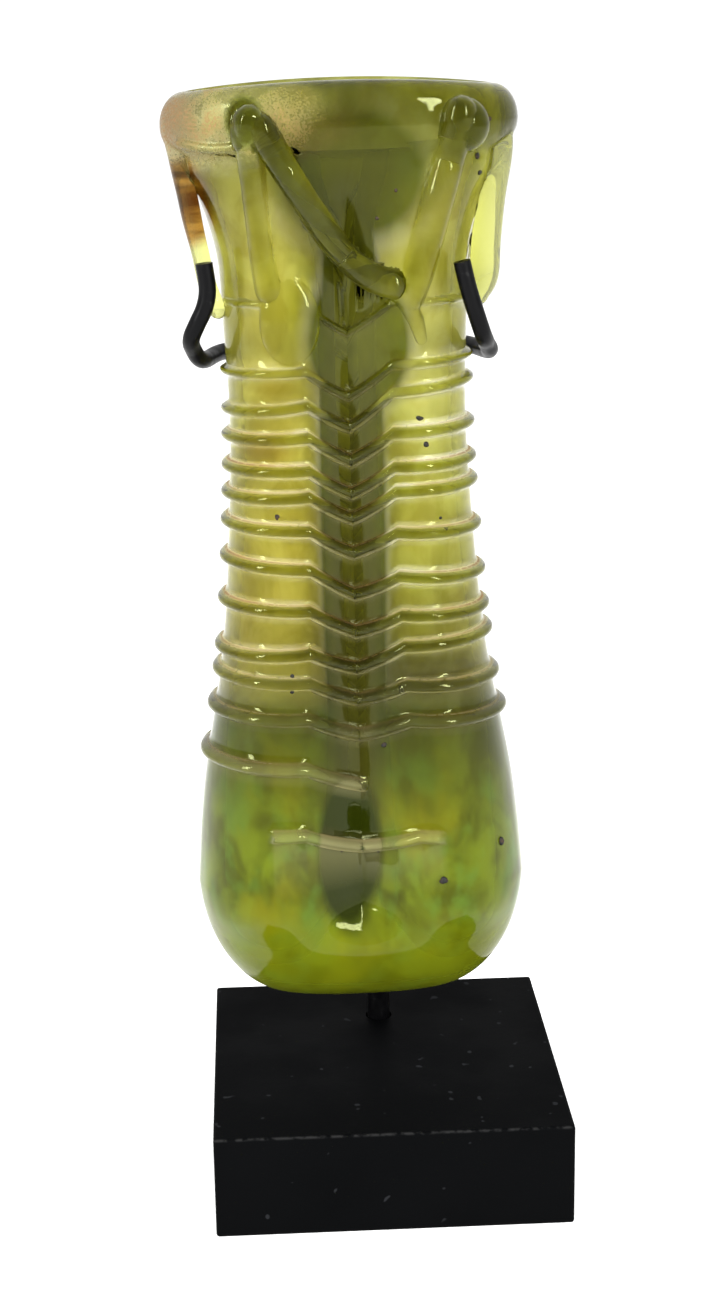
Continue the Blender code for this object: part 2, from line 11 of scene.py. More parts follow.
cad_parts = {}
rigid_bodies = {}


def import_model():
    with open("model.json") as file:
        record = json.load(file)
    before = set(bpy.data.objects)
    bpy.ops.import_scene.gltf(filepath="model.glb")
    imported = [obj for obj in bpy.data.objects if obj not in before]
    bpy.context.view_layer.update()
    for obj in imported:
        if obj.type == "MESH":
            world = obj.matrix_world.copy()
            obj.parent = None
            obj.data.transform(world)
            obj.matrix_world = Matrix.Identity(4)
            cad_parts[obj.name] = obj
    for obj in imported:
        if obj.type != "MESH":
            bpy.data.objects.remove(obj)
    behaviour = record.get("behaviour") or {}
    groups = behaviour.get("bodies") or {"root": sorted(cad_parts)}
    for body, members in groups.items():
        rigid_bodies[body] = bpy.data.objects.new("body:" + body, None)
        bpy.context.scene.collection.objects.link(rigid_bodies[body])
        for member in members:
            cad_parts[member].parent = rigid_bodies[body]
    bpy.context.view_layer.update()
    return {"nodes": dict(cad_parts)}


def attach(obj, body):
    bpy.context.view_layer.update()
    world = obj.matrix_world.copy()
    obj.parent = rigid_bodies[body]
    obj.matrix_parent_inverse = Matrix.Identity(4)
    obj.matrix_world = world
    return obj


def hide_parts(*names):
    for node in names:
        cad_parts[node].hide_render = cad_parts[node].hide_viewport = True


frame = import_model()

# The studio. The flask stands on a plain white sweep under white light from all round, with two tall bright
# lamps in front, left and right. The camera looks slightly down on it, at the photograph's place and angle.

MM = 0.001
LENS = 59.88
CAMERA_AT = Vector((-0.016679, -0.294429, 0.161230))
YAW, PITCH, ROLL = radians(2.7377), radians(16.0909), radians(-0.90248)
WHITE_LIGHT = 1.12
LAMP_WIDTH, LAMP_HEIGHT, LAMP_POWER = 0.2, 0.9, 28.0
LAMPS = [("left_lamp", (-0.92, -0.66, 0.68)), ("right_lamp", (0.70, -0.92, 0.70))]
LAMPS_AIM = Vector((0.0, 0.0, 0.09))
NEAREST_SEEN = 0.01

scene = bpy.context.scene
forward = Vector((sin(YAW) * cos(PITCH), cos(YAW) * cos(PITCH), -sin(PITCH)))
level = Vector((cos(YAW), -sin(YAW), 0.0))
upward = level.cross(forward)
right = cos(ROLL) * level + sin(ROLL) * upward
upward = cos(ROLL) * upward - sin(ROLL) * level
camera_data = bpy.data.cameras.new("camera")
camera_data.lens = LENS
camera_data.clip_start = NEAREST_SEEN
camera = bpy.data.objects.new("camera", camera_data)
camera.matrix_world = Matrix.Translation(CAMERA_AT) @ Matrix((right, upward, -forward)).transposed().to_4x4()
scene.collection.objects.link(camera)
scene.camera = camera
scene.view_settings.view_transform = 'Standard'

world = bpy.data.worlds.new("white_studio")
world.use_nodes = True
light = world.node_tree.nodes["Background"]
light.inputs["Color"].default_value = (1.0, 1.0, 1.0, 1.0)
light.inputs["Strength"].default_value = WHITE_LIGHT
scene.world = world

for name, place in LAMPS:
    lamp_data = bpy.data.lights.new(name, 'AREA')
    lamp_data.shape = 'RECTANGLE'
    lamp_data.size, lamp_data.size_y = LAMP_WIDTH, LAMP_HEIGHT
    lamp_data.energy = LAMP_POWER
    lamp = bpy.data.objects.new(name, lamp_data)
    lamp.location = place
    lamp.rotation_euler = (LAMPS_AIM - Vector(place)).to_track_quat('-Z', 'Y').to_euler()
    scene.collection.objects.link(lamp)


class Finish:
    """A finish as it is mixed: a material, its shader, and steps that each give a value or a colour."""

    def __init__(self, name, colour, roughness):
        self.material = bpy.data.materials.new(name)
        self.material.use_nodes = True
        self.tree = self.material.node_tree
        self.shader = self.tree.nodes["Principled BSDF"]
        self.place = self.tree.nodes.new("ShaderNodeTexCoord").outputs["Object"]
        self.give({"Base Color": colour, "Roughness": roughness})

    def feed(self, socket, given):
        """Gives one socket a number, a colour, or what another socket says."""
        if isinstance(given, bpy.types.NodeSocket):
            self.tree.links.new(given, socket)
        elif isinstance(given, tuple) and len(given) < len(socket.default_value):
            socket.default_value = (*given, 1.0)
        else:
            socket.default_value = given

    def give(self, given):
        """Feeds the shader's sockets."""
        for socket, value in given.items():
            self.feed(self.shader.inputs[socket], value)

    def step(self, kind, given, **settings):
        """A new node of the kind, with its settings, and what its sockets are fed."""
        made = self.tree.nodes.new("ShaderNode" + kind)
        for name, value in settings.items():
            setattr(made, name, value)
        for socket, value in given.items():
            self.feed(made.inputs[socket], value)
        return made

    def along(self, axis):
        """Place along the axis, in metres."""
        return self.step("SeparateXYZ", {"Vector": self.place}).outputs[axis]

    def noise(self, scale, detail=3.0, stretch=(1.0, 1.0, 1.0), twist=0.0):
        """Noise on Object coordinates: `scale` waves a metre, each axis stretched by its share, twisted."""
        stretched = self.step("Mapping", {"Vector": self.place, "Scale": stretch}).outputs["Vector"]
        return self.step("TexNoise", {"Vector": stretched, "Scale": scale, "Detail": detail,
                                      "Distortion": twist}).outputs["Fac"]

    def ramp(self, value, low, high, out_low=0.0, out_high=1.0):
        """The value between low and high, taken smoothly to out_low and out_high."""
        return self.step("MapRange", {"Value": value, "From Min": low, "From Max": high, "To Min": out_low,
                                      "To Max": out_high}, interpolation_type='SMOOTHSTEP').outputs["Result"]

    def maths(self, operation, a, b):
        """The operation done on a and b."""
        return self.step("Math", {0: a, 1: b}, operation=operation).outputs["Value"]

    def times(self, *values):
        """Product of the values."""
        return reduce(lambda a, b: self.maths('MULTIPLY', a, b), values)

    def most(self, *values):
        """Greatest of the values."""
        return reduce(lambda a, b: self.maths('MAXIMUM', a, b), values)

    def rest(self, value):
        """What is left of one."""
        return self.maths('SUBTRACT', 1.0, value)

    def blend(self, share, a, b, kind='MIX'):
        """Colour a turned into colour b by the share."""
        return self.step("Mix", {0: share, 6: a, 7: b}, data_type='RGBA', blend_type=kind).outputs[2]

    def relief(self, height, strength, depth):
        """Normal of a surface raised by the height."""
        return self.step("Bump", {"Height": height, "Strength": strength, "Distance": depth}).outputs["Normal"]

    def cover(self, piece):
        """Gives the piece this finish alone."""
        piece.data.materials.clear()
        piece.data.materials.append(self.material)


def grid_faces(rows, columns, closed):
    """Four-sided faces of a grid of points, row by row; a closed one joins its last column to its first."""
    r = np.arange(rows - 1)[:, None]
    c = np.arange(columns if closed else columns - 1)[None, :]
    d = (c + 1) % columns
    quads = np.stack([r * columns + c, (r + 1) * columns + c, (r + 1) * columns + d, r * columns + d], axis=-1)
    return quads.reshape(-1, 4)


def mesh_of(name, points, quads, polygons=()):
    """Mesh from an array of points, an array of four-sided faces and a few faces with more corners."""
    mesh = bpy.data.meshes.new(name)
    mesh.from_pydata(np.asarray(points).reshape(-1, 3).tolist(), [],
                     np.asarray(quads).tolist() + [list(map(int, p)) for p in polygons])
    mesh.update()
    return mesh


def closed_mesh(name, rings):
    """Closed body from rings of as many points each, with a flat face on the first and on the last."""
    count, sides = len(rings) * len(rings[0]), len(rings[0])
    return mesh_of(name, rings, grid_faces(len(rings), sides, True),
                   [np.arange(sides), np.arange(count - sides, count)[::-1]])


def piece_of(name, mesh):
    """The mesh as an object in the scene."""
    made = bpy.data.objects.new(name, mesh)
    scene.collection.objects.link(made)
    return made


FLOOR_HALF = 4.0
corners = [(x * FLOOR_HALF, y * FLOOR_HALF, 0) for x, y in ((-1, -1), (1, -1), (1, 1), (-1, 1))]
floor = piece_of("sweep", mesh_of("sweep", corners, [(0, 1, 2, 3)]))
paper = Finish("white_paper", (0.93, 0.93, 0.93), 0.9)
paper.give({"Base Color": paper.blend(paper.noise(3.0), (0.925, 0.925, 0.925), (0.94, 0.94, 0.94))})
paper.cover(floor)

# The block. A 50 mm square block of wood, 15 mm high, with slightly softened edges. It is painted matte
# black, a little worn along its upper front edge, with a few bits of lint on it, and has a blind hole in its
# top for the rod.

BLOCK_TONES = (0.0007, 0.0008, 0.0009), (0.0016, 0.0017, 0.0019)
LINT_TONE, WORN_TONE = (0.009, 0.0095, 0.0105), (0.012, 0.012, 0.012)
BLOCK_GLOSS = 0.012
WORN_ABOVE = 14.55 * MM, 14.9 * MM
WORN_FORWARD = -24.55 * MM, -24.9 * MM

block = frame["nodes"]["base_block"]
matte = Finish("matte_block_paint", (0.0065, 0.0065, 0.007), 0.6)
fine, broad = matte.noise(900.0, 4.0), matte.noise(70.0)
lint = matte.ramp(matte.noise(520.0, 1.0), 0.72, 0.76)
worn = matte.times(matte.ramp(matte.along("Z"), *WORN_ABOVE), matte.ramp(matte.along("Y"), *WORN_FORWARD),
                   matte.ramp(fine, 0.4, 0.6))
tone = matte.blend(broad, *BLOCK_TONES)
tone = matte.blend(lint, tone, LINT_TONE)
tone = matte.blend(worn, tone, WORN_TONE)
matte.give({"Base Color": tone, "Roughness": matte.ramp(broad, 0.3, 0.7, 0.5, 0.68),
            "Specular IOR Level": BLOCK_GLOSS, "Normal": matte.relief(fine, 0.25, 0.1 * MM)})
matte.cover(block)

# The flask's blown body. Two round tubes blown and squeezed side by side, with a furrow between them front and
# back, that widen into one oval mouth. Heights are above the flask's own underside, in its own upright axes; it
# stands with a slight lean.

BLOCK_HEIGHT = 15.0 * MM
FLASK_X = -2.7 * MM
FLASK_LIFT = 11.0 * MM
FLASK_LEAN = radians(0.72)
flask_place = (Matrix.Translation((FLASK_X, 0.0, BLOCK_HEIGHT + FLASK_LIFT))
               @ Matrix.Rotation(-FLASK_LEAN, 4, 'Y'))

BELLY_HEIGHT = 19.5 * MM
FOOT_HALF_WIDTH = 10.0 * MM
FOOT_HALF_DEPTH = 2.0 * MM
# Height, half width, half depth, half thickness in the furrow
STATIONS = MM * np.array([
    (19.5, 23.45, 11.5, 6.6), (32.5, 22.0, 11.0, 6.3), (51.5, 18.6, 9.6, 5.6), (69.0, 16.9, 8.7, 5.2),
    (85.0, 16.1, 8.2, 5.0), (97.0, 16.4, 8.4, 5.2), (108.0, 17.1, 9.2, 6.0), (114.0, 18.9, 10.1, 7.8),
    (118.0, 20.9, 10.9, 9.8)])
FURROW_START, FURROW_FULL = 9.5 * MM, 16.0 * MM
FURROW_FADE, FURROW_END = 112.0 * MM, 121.0 * MM
VALLEY_POWER = 1.1
OVAL_POWER = 2.3
COLUMNS = 192  # points round the body
COLUMN_SPREAD = 0.15  # how much closer they stand at the body's edges than in its middle
LIP_HEIGHT = 123.4 * MM  # the lip's widest line
LIP_HALF_WIDTH, LIP_HALF_DEPTH = 20.1 * MM, 8.8 * MM  # its crest line
LIP_OUT, LIP_IN = 3.4 * MM, 1.2 * MM
LIP_RISE, LIP_ARCH = 4.3 * MM, 1.1 * MM
LIP_UNDERSIDE = radians(-30.0)


def smooth_step(value, low, high):
    """0 up to low, 1 from high, and the cubic s * s * (3 - 2 s) between."""
    share = np.clip((value - low) / (high - low), 0.0, 1.0)
    return share * share * (3.0 - 2.0 * share)


def through(heights, column):
    """Smooth curve through the stations: cubic pieces whose slopes come from the two neighbours."""
    z, v = STATIONS[:, 0], STATIONS[:, column]
    slope = np.gradient(v, z)
    i = np.clip(np.searchsorted(z, heights) - 1, 0, len(z) - 2)
    span = z[i + 1] - z[i]
    t = np.clip((heights - z[i]) / span, 0.0, 1.0)
    return ((2 * t ** 3 - 3 * t ** 2 + 1) * v[i] + (t ** 3 - 2 * t ** 2 + t) * span * slope[i]
            + (3 * t ** 2 - 2 * t ** 3) * v[i + 1] + (t ** 3 - t ** 2) * span * slope[i + 1])


def body_sizes(z):
    """Half width, half depth, furrow half thickness and share of furrow at the heights z."""
    z = np.asarray(z, dtype=float)
    rise = np.sqrt(1.0 - (1.0 - np.clip(z / BELLY_HEIGHT, 0.0, 1.0)) ** 2)
    width, depth = (np.where(z < BELLY_HEIGHT, foot + (STATIONS[0, column] - foot) * rise, through(z, column))
                    for foot, column in ((FOOT_HALF_WIDTH, 1), (FOOT_HALF_DEPTH, 2)))
    furrow = smooth_step(z, FURROW_START, FURROW_FULL) * (1.0 - smooth_step(z, FURROW_FADE, FURROW_END))
    return width, depth, through(z, 3), furrow


def half_thickness(x, width, depth, web, furrow):
    """Depth of the section at x: two tubes that fall to a furrow between them, or an oval without one."""
    across = np.minimum(np.abs(x), width)
    centre = width - depth
    tube = np.sqrt(np.clip(depth ** 2 - (across - centre) ** 2, 0.0, None))
    share = np.clip(across / np.maximum(centre, MM), 0.0, 1.0)
    valley = web + (depth - web) * np.sin(share * pi / 2) ** VALLEY_POWER
    tubes = np.where(across < centre, valley, tube)
    oval = depth * np.clip(1.0 - (across / width) ** OVAL_POWER, 0.0, None) ** (1.0 / OVAL_POWER)
    return furrow * tubes + (1.0 - furrow) * oval


def outline(turn, z):
    """Points of the body at the share `turn` round it (0 left edge, 0.25 front, 0.5 right) and height z."""
    width, depth, web, furrow = body_sizes(z)
    side = 2.0 * pi * turn
    x = -width * np.cos(side + COLUMN_SPREAD * np.sin(2.0 * side))
    front = np.where(np.mod(turn, 1.0) < 0.5, -1.0, 1.0)
    return x, front * half_thickness(x, width, depth, web, furrow)


def proud_outline(turn, z, lift):
    """The outline moved out along its own normal by lift."""
    step = 1e-3
    x, y = outline(turn, z)
    x0, y0 = outline(turn - step, z)
    x1, y1 = outline(turn + step, z)
    across, along = x1 - x0, y1 - y0
    length = np.maximum(np.hypot(across, along), 1e-9)
    return x + lift * along / length, y - lift * across / length


def ripple(a, b, seed, size, waves=5):
    """Smooth random swell over two directions a and b (metres): a sum of sines with seeded directions."""
    pick = np.random.default_rng(seed)
    total = np.zeros(np.broadcast(a, b).shape)
    for _ in range(waves):
        angle, phase = pick.uniform(0, 2 * pi), pick.uniform(0, 2 * pi)
        pace = 2 * pi / (size * pick.uniform(0.6, 1.6))
        total = total + np.sin(pace * (a * np.cos(angle) + b * np.sin(angle)) + phase)
    return total / waves


# The wound thread. A glass thread trailed on hot in one spiral, fourteen turns from the shoulder down. It
# sags where it bridges the furrow and breaks off in the lowest full turn. A loose length is left below.

THREAD_LEFT = MM * np.array([100.8, 91.4, 86.2, 82.6, 78.4, 74.7, 70.8, 65.8, 59.8, 53.1, 49.8, 44.7, 38.1,
                             28.2, 24.6])
THREAD_RIGHT = MM * np.array([100.4, 92.6, 89.4, 83.4, 78.6, 75.4, 69.2, 62.8, 57.8, 54.3, 48.1, 43.1, 34.6,
                              26.4])
TURNS = len(THREAD_RIGHT)
THREAD_PROUD, THREAD_UNIT = 1.25 * MM, 0.84 * MM
THREAD_START, THREAD_FULL = 0.015, 0.06  # shares of a turn over which the thread begins
FINE_TURNS = {0: 0.6, 1: 0.75, 2: 0.9}
DIP_TOP, DIP_BOTTOM, DIP_WIDTH, DIP_POWER = 4.3 * MM, 3.0 * MM, 6.0 * MM, 1.2
LAST_TURN, LAST_TURN_END = 12, 0.8 * MM
REMNANT_TURN, REMNANT_FROM, REMNANT_TO = 13, -9.7 * MM, 8.5 * MM
BREAK = 0.6 * MM  # length over which a broken end falls away
WOBBLE, SWELL = 0.16 * MM, 0.08  # unevenness of the thread's course and of its size
WOBBLE_SEED, SWELL_SEED = 20, 40
TURN_SPAN = 0.1  # a turn's length for the unevenness, in metres
# The bead's section: height from its middle in THREAD_UNIT, distance out from the glass in THREAD_PROUD
BEAD = [(1.32, 0.0), (1.06, 0.2), (0.86, 0.52), (0.5, 0.87), (0.0, 1.0), (-0.5, 0.87), (-0.86, 0.52),
        (-1.06, 0.2), (-1.32, 0.0)]
# Finish of each row of the bead: tan earth above, deep glass in its middle, a painted highlight along its foot
BEAD_EARTH = [0.3, 1.0, 0.3, 0.0, 0.0, 0.0, 0.0, 0.0, 0.0]
BEAD_DEEP = [0.0, 0.3, 0.9, 1.0, 1.0, 0.8, 0.1, 0.0, 0.0]
BEAD_PAINTED_HIGHLIGHT = [0.0, 0.0, 0.0, 0.0, 0.0, 0.05, 0.8, 1.0, 0.2]
BETWEEN = 4  # rows of plain glass between two turns
TURN_EARTH = [0.1, 0.3, 0.4, 0.75, 1.0, 0.8, 0.9, 1.0, 1.0, 0.8, 0.6, 0.5, 0.45, 0.3]
TURN_DEEP = [0.8, 0.8, 0.9, 0.9, 1.0, 1.0, 1.0, 1.0, 1.0, 0.9, 0.7, 0.4, 0.15, 0.1]
TURN_PAINTED_HIGHLIGHT = [0.4, 0.6, 0.7, 0.8, 0.9, 0.9, 1.0, 1.0, 1.0, 0.9, 0.8, 0.8, 0.8, 0.9]
# The lowest turns get this much painted highlight on all their raised rows, which makes them look pale
PALE_TURNS = {10: 0.08, 11: 0.2, 12: 0.32, 13: 0.36}  # the lowest turns are almost without colour
FINISHES = ("earth", "deep", "gleam")
TURN_ROWS = len(BEAD) + BETWEEN
LIP_RINGS = 14
NECK_RINGS = np.linspace(119.6, 104.6, 16) * MM
UNDERSIDE_RINGS = np.radians(np.linspace(3, 90, 26))


def thread_height(number, turn):
    """Height of the thread's middle at turn `number`, at the shares `turn` round the body."""
    left, right, down = THREAD_LEFT[number], THREAD_RIGHT[number], THREAD_LEFT[number + 1]
    middle = np.where(turn <= 0.5, left + (right - left) * smooth_step(turn, 0.0, 0.5),
                      right + (down - right) * smooth_step(turn, 0.5, 1.0))
    x, _ = outline(turn, STATIONS[3, 0])
    dip = DIP_TOP + (DIP_BOTTOM - DIP_TOP) * number / (TURNS - 1)
    sway = ripple(turn * TURN_SPAN, 0.0 * turn, WOBBLE_SEED + number, 0.02) * np.sin(2 * pi * turn) ** 2
    return middle - dip * np.maximum(0.0, 1.0 - (np.abs(x) / DIP_WIDTH) ** DIP_POWER) + WOBBLE * sway


def thread_sheet():
    """Rows of the skin that wind with the thread: a half-round bead for each turn and plain rows between.

    The second array says how much of each finish lies on each point: earth gathers on the bead's upper foot,
    more towards the edges than on the front, and there is none where the thread has broken away.
    """
    turn = np.arange(COLUMNS + 1) / COLUMNS
    x, _ = outline(turn, STATIONS[3, 0])
    front = turn <= 0.5
    edge = 0.5 + 0.5 * np.abs(np.cos(2 * pi * turn)) ** 1.5
    rows, finishes = [], []
    for number in range(TURNS):
        middle = thread_height(number, turn)
        swell = ripple(turn * TURN_SPAN, 0.0 * turn, SWELL_SEED + number, 0.03)
        size = FINE_TURNS.get(number, 1.0) * (1.0 + SWELL * swell * np.sin(2 * pi * turn) ** 2)
        lift = THREAD_PROUD * size
        if number == 0:
            lift = lift * smooth_step(turn, THREAD_START, THREAD_FULL)
        if number == LAST_TURN:
            lift = lift * np.where(front, 1.0 - smooth_step(x, LAST_TURN_END - BREAK, LAST_TURN_END), 0.0)
        if number == REMNANT_TURN:
            lift = lift * np.where(front, smooth_step(x, REMNANT_FROM, REMNANT_FROM + BREAK)
                                   * (1.0 - smooth_step(x, REMNANT_TO - BREAK, REMNANT_TO)), 0.0)
        there = np.clip(lift / THREAD_PROUD, 0.0, 1.0)
        for k, (rise, out) in enumerate(BEAD):
            height = middle + THREAD_UNIT * size * rise
            px, py = proud_outline(turn, height, lift * out)
            rows.append(np.stack([px, py, height], axis=1))
            # Painted highlight on this row of the bead
            gleam = BEAD_PAINTED_HIGHLIGHT[k] * TURN_PAINTED_HIGHLIGHT[number]
            if out > 0.0:
                gleam = max(gleam, PALE_TURNS.get(number, 0.0))
            finishes.append([BEAD_EARTH[k] * edge * TURN_EARTH[number] * there,
                             BEAD_DEEP[k] * TURN_DEEP[number] * there, gleam * there])
        if number < TURNS - 1:
            ahead = thread_height(number + 1, turn) + BEAD[0][0] * THREAD_UNIT * FINE_TURNS.get(number + 1, 1.0)
            for share in np.arange(1, BETWEEN + 1) / (BETWEEN + 1):
                height = (middle + BEAD[-1][0] * THREAD_UNIT * size) * (1 - share) + ahead * share
                px, py = proud_outline(turn, height, 0.0)
                rows.append(np.stack([px, py, height], axis=1))
                finishes.append(np.zeros((3, COLUMNS + 1)))
    return np.array(rows), np.array(finishes)


def plain_ring(z):
    """Ring of the body's outline at the height z."""
    turn = np.arange(COLUMNS) / COLUMNS
    x, y = outline(turn, np.full(COLUMNS, z))
    return np.stack([x, y, np.full(COLUMNS, z)], axis=1)


def oval_ring(width, depth, z, sides, centre_x=0.0, power=OVAL_POWER, start=0.0):
    """Rounded oval of the given half sizes, whose first point lies `start` steps past its left end."""
    side = 2.0 * pi * (np.arange(sides) + start) / sides
    c, s = np.cos(side), np.sin(side)
    x = centre_x - width * np.sign(c) * np.abs(c) ** (2.0 / power)
    y = -depth * np.sign(s) * np.abs(s) ** (2.0 / power)
    return np.stack([x, y, np.full(sides, z)], axis=1)


def lip_ring(angle, reach):
    """Ring of the lip's bead: at `angle` above its widest line, reaching out from the crest line or in."""
    points = oval_ring(LIP_HALF_WIDTH + reach * cos(angle), LIP_HALF_DEPTH + reach * cos(angle), 0.0, COLUMNS)
    arch = np.maximum(1.0 - (points[:, 0] / LIP_HALF_WIDTH) ** 2, 0.0)
    points[:, 2] = LIP_HEIGHT + (LIP_RISE + LIP_ARCH * arch) * sin(angle)
    return points


def skin_mesh():
    """Outer skin: the lip's bead, plain rings, the sheet that winds with the thread, rings to the underside.

    The sheet's right edge joins its left edge one turn lower, so the thread is one spiral with no step.
    """
    crest = lip_ring(pi / 2, LIP_OUT)
    ledge = crest * (1.0 - LIP_OUT / LIP_HALF_WIDTH, 1.0 - LIP_OUT / LIP_HALF_WIDTH, 1.0)
    rings = [ledge, crest] + [lip_ring(a, LIP_OUT) for a in np.linspace(pi / 2, LIP_UNDERSIDE, LIP_RINGS)[1:]]
    rings += [plain_ring(z) for z in NECK_RINGS]
    upper = np.array(rings)
    lower = np.array([plain_ring(BELLY_HEIGHT * (1.0 - sin(a))) for a in UNDERSIDE_RINGS])
    sheet, finishes = thread_sheet()
    rows = len(sheet)
    points = np.concatenate([upper.reshape(-1, 3), lower.reshape(-1, 3), sheet[:, :COLUMNS].reshape(-1, 3),
                             sheet[-TURN_ROWS:, COLUMNS]])
    first_lower = len(upper) * COLUMNS
    first_sheet = first_lower + len(lower) * COLUMNS
    index = first_sheet + np.arange(rows * COLUMNS).reshape(rows, COLUMNS)
    tail = first_sheet + rows * COLUMNS + np.arange(TURN_ROWS)
    index = np.hstack([index, np.concatenate([index[TURN_ROWS:, 0], tail])[:, None]])
    faces = [grid_faces(len(upper), COLUMNS, True), first_lower + grid_faces(len(lower), COLUMNS, True),
             np.stack([index[:-1, :-1], index[1:, :-1], index[1:, 1:], index[:-1, 1:]], axis=-1).reshape(-1, 4)]
    rim = first_lower - COLUMNS + np.arange(COLUMNS)
    base = first_lower + np.arange(COLUMNS)
    faces.append(np.stack([rim[:-1], index[0, :-2], index[0, 1:-1], rim[1:]], axis=-1))
    i = np.arange(1, COLUMNS)
    faces.append(np.stack([index[-1, i], base[i], base[(i + 1) % COLUMNS], index[-1, i + 1]], axis=-1))
    polygons = [[rim[-1], index[0, -2], *index[TURN_ROWS::-1, 0], rim[0]],
                [index[-1, 0], *tail[:-1], base[0], base[1], index[-1, 1]],
                np.arange(COLUMNS), (first_sheet - COLUMNS + np.arange(COLUMNS))[::-1]]
    mesh = mesh_of("flask", points, np.concatenate(faces), polygons)
    for k, name in enumerate(FINISHES):
        amount = np.concatenate([np.zeros(first_sheet), finishes[:, k, :COLUMNS].ravel(),
                                 finishes[-TURN_ROWS:, k, COLUMNS]])
        mesh.attributes.new(name, 'FLOAT', 'POINT').data.foreach_set("value", amount.astype(np.float32))
    return mesh


# The hollow. Each tube is blown round inside, rounded at its bottom, and opens into the mouth above a partition
# between the two. The wall is about two millimetres thick, and more at the bottom.

WALL, BELLY_WALL = 1.9 * MM, 3.9 * MM
PARTITION, BELLY_PARTITION = 5.6 * MM, 8.0 * MM
PARTITION_TOP, BORE_TOP = 120.5 * MM, 121.3 * MM
FILL_TOP, BORE_TURN, BOTTOM_THICKNESS = 46.0 * MM, 16.0 * MM, 6.5 * MM
BORE_SIDES, BORE_RINGS, BORE_END_RINGS = 64, 54, 14
MOUTH_EDGE, MOUTH_SPREAD = 0.25 * MM, 0.3 * MM
MOUTH_LIP_RINGS = np.radians([72.0, 60.0, 48.0, 36.0, 24.0, 12.0, 0.0])


def bore_sizes(z):
    """Distance from the middle, half width and half depth of a tube's hollow at the heights z."""
    width, depth, _, _ = body_sizes(z)
    thick = 1.0 - smooth_step(z, BORE_TURN, FILL_TOP)
    wall = WALL + (BELLY_WALL - WALL) * thick
    partition = PARTITION + (BELLY_PARTITION - PARTITION) * thick
    across = (width - wall - partition / 2) / 2
    return partition / 2 + across, across, depth - wall


def bore_mesh(side):
    """Inside of one tube: ellipses inside the outer tube, closed by a rounded bottom."""
    z = np.linspace(BORE_TOP, BORE_TURN, BORE_RINGS)
    centre, across, deep = bore_sizes(z)
    angle = np.linspace(0.0, pi / 2, BORE_END_RINGS)[1:-1]
    share = np.cos(angle)
    z = np.concatenate([z, BORE_TURN - (BORE_TURN - BOTTOM_THICKNESS) * np.sin(angle)])
    centre = np.concatenate([centre, np.full(len(angle), centre[-1])])
    across, deep = np.concatenate([across, across[-1] * share]), np.concatenate([deep, deep[-1] * share])
    rings = [oval_ring(a, d, h, BORE_SIDES, side * c, 2.0, 0.5) for a, d, h, c in zip(across, deep, z, centre)]
    return closed_mesh("tube_inside", rings)


def mouth_mesh():
    """Inside of the mouth: from over the lip, round its inner edge and down to the partition's top."""
    rings = [oval_ring(LIP_HALF_WIDTH - MOUTH_EDGE, LIP_HALF_DEPTH - MOUTH_EDGE, LIP_HEIGHT + 2 * LIP_RISE,
                       COLUMNS)]
    rings += [lip_ring(a, -LIP_IN) for a in MOUTH_LIP_RINGS]
    width, depth, _, _ = (float(v) for v in body_sizes(PARTITION_TOP))
    bottom = oval_ring(width - WALL + MOUTH_SPREAD, depth - WALL + MOUTH_SPREAD, PARTITION_TOP, COLUMNS)
    rings += [rings[-1] * (1 - share) + bottom * share for share in (0.2, 0.4, 0.6, 0.8, 1.0)]
    return closed_mesh("mouth_inside", rings)


# The zigzag trail. A thick trail of the same glass drawn between the lip and the shoulder, up and down, with
# flattened pads where it was pressed on. A strand stands free of the body at each edge. The back is plainer.

# Across, height, distance of the strand's middle from the glass, radius
LEFT_STRAND = [(-21.4, 123.2, 0.2, 2.0), (-21.0, 120.0, 0.6, 1.6), (-20.4, 115.5, 1.6, 1.4),
               (-19.7, 111.0, 2.1, 1.3), (-18.9, 107.0, 1.8, 1.2), (-18.2, 103.0, 1.4, 1.2),
               (-17.0, 99.6, 0.4, 1.2)]
LEFT_STRAND_FORWARD = 2.6 * MM
FIRST_FALL = [(-11.8, 124.0, 0.6, 2.2), (-11.8, 120.2, 0.5, 1.9), (-11.4, 114.2, 0.2, 1.7),
              (-10.9, 107.8, 0.1, 1.7), (-10.2, 102.6, 0.1, 1.8)]
CORD = [(-10.4, 123.2, 0.8, 2.0), (-7.8, 118.5, 0.9, 1.9), (-5.3, 114.4, 0.9, 1.85), (-2.2, 109.4, 1.0, 1.85),
        (0.1, 106.4, 1.5, 1.85), (3.1, 104.0, 1.3, 1.95), (6.0, 102.9, 0.8, 2.05)]
SECOND_RISE = [(8.2, 101.0, 0.2, 1.9), (9.2, 104.0, 0.1, 2.2), (10.5, 108.6, 0.1, 2.3), (12.3, 115.0, 0.2, 2.3),
               (14.0, 120.6, 0.4, 2.2), (15.0, 124.2, 0.5, 2.2)]
DRIP = [(7.2, 101.2, 0.3, 1.2), (8.8, 98.4, 0.3, 1.1), (9.6, 95.6, 0.2, 0.8)]
RIGHT_STRAND = [(20.6, 123.0, 0.2, 2.1), (20.4, 118.5, 0.6, 2.0), (19.6, 113.0, 1.4, 1.9),
                (18.9, 107.5, 1.3, 2.0), (18.5, 103.0, 1.2, 2.0), (17.6, 100.6, 0.6, 1.6)]
RIGHT_STRAND_FORWARD = 3.0 * MM
LIP_THREAD = [(-20.6, 121.4, 0.4, 0.8), (-17.0, 120.8, 0.3, 0.7), (-13.0, 120.9, 0.3, 0.8)]
REAR_ZIGZAG = [(20.6, 122.5, 0.4, 1.9), (17.6, 112.0, 0.2, 1.7), (14.0, 101.8, 0.3, 1.8),
               (10.6, 112.0, 0.3, 1.7), (7.2, 122.0, 0.5, 1.9), (3.4, 112.0, 0.6, 1.7),
               (-0.6, 102.6, 1.0, 1.9), (-4.6, 112.0, 0.6, 1.7), (-8.4, 122.0, 0.5, 1.9),
               (-11.6, 112.0, 0.3, 1.7), (-14.4, 102.0, 0.3, 1.8)]
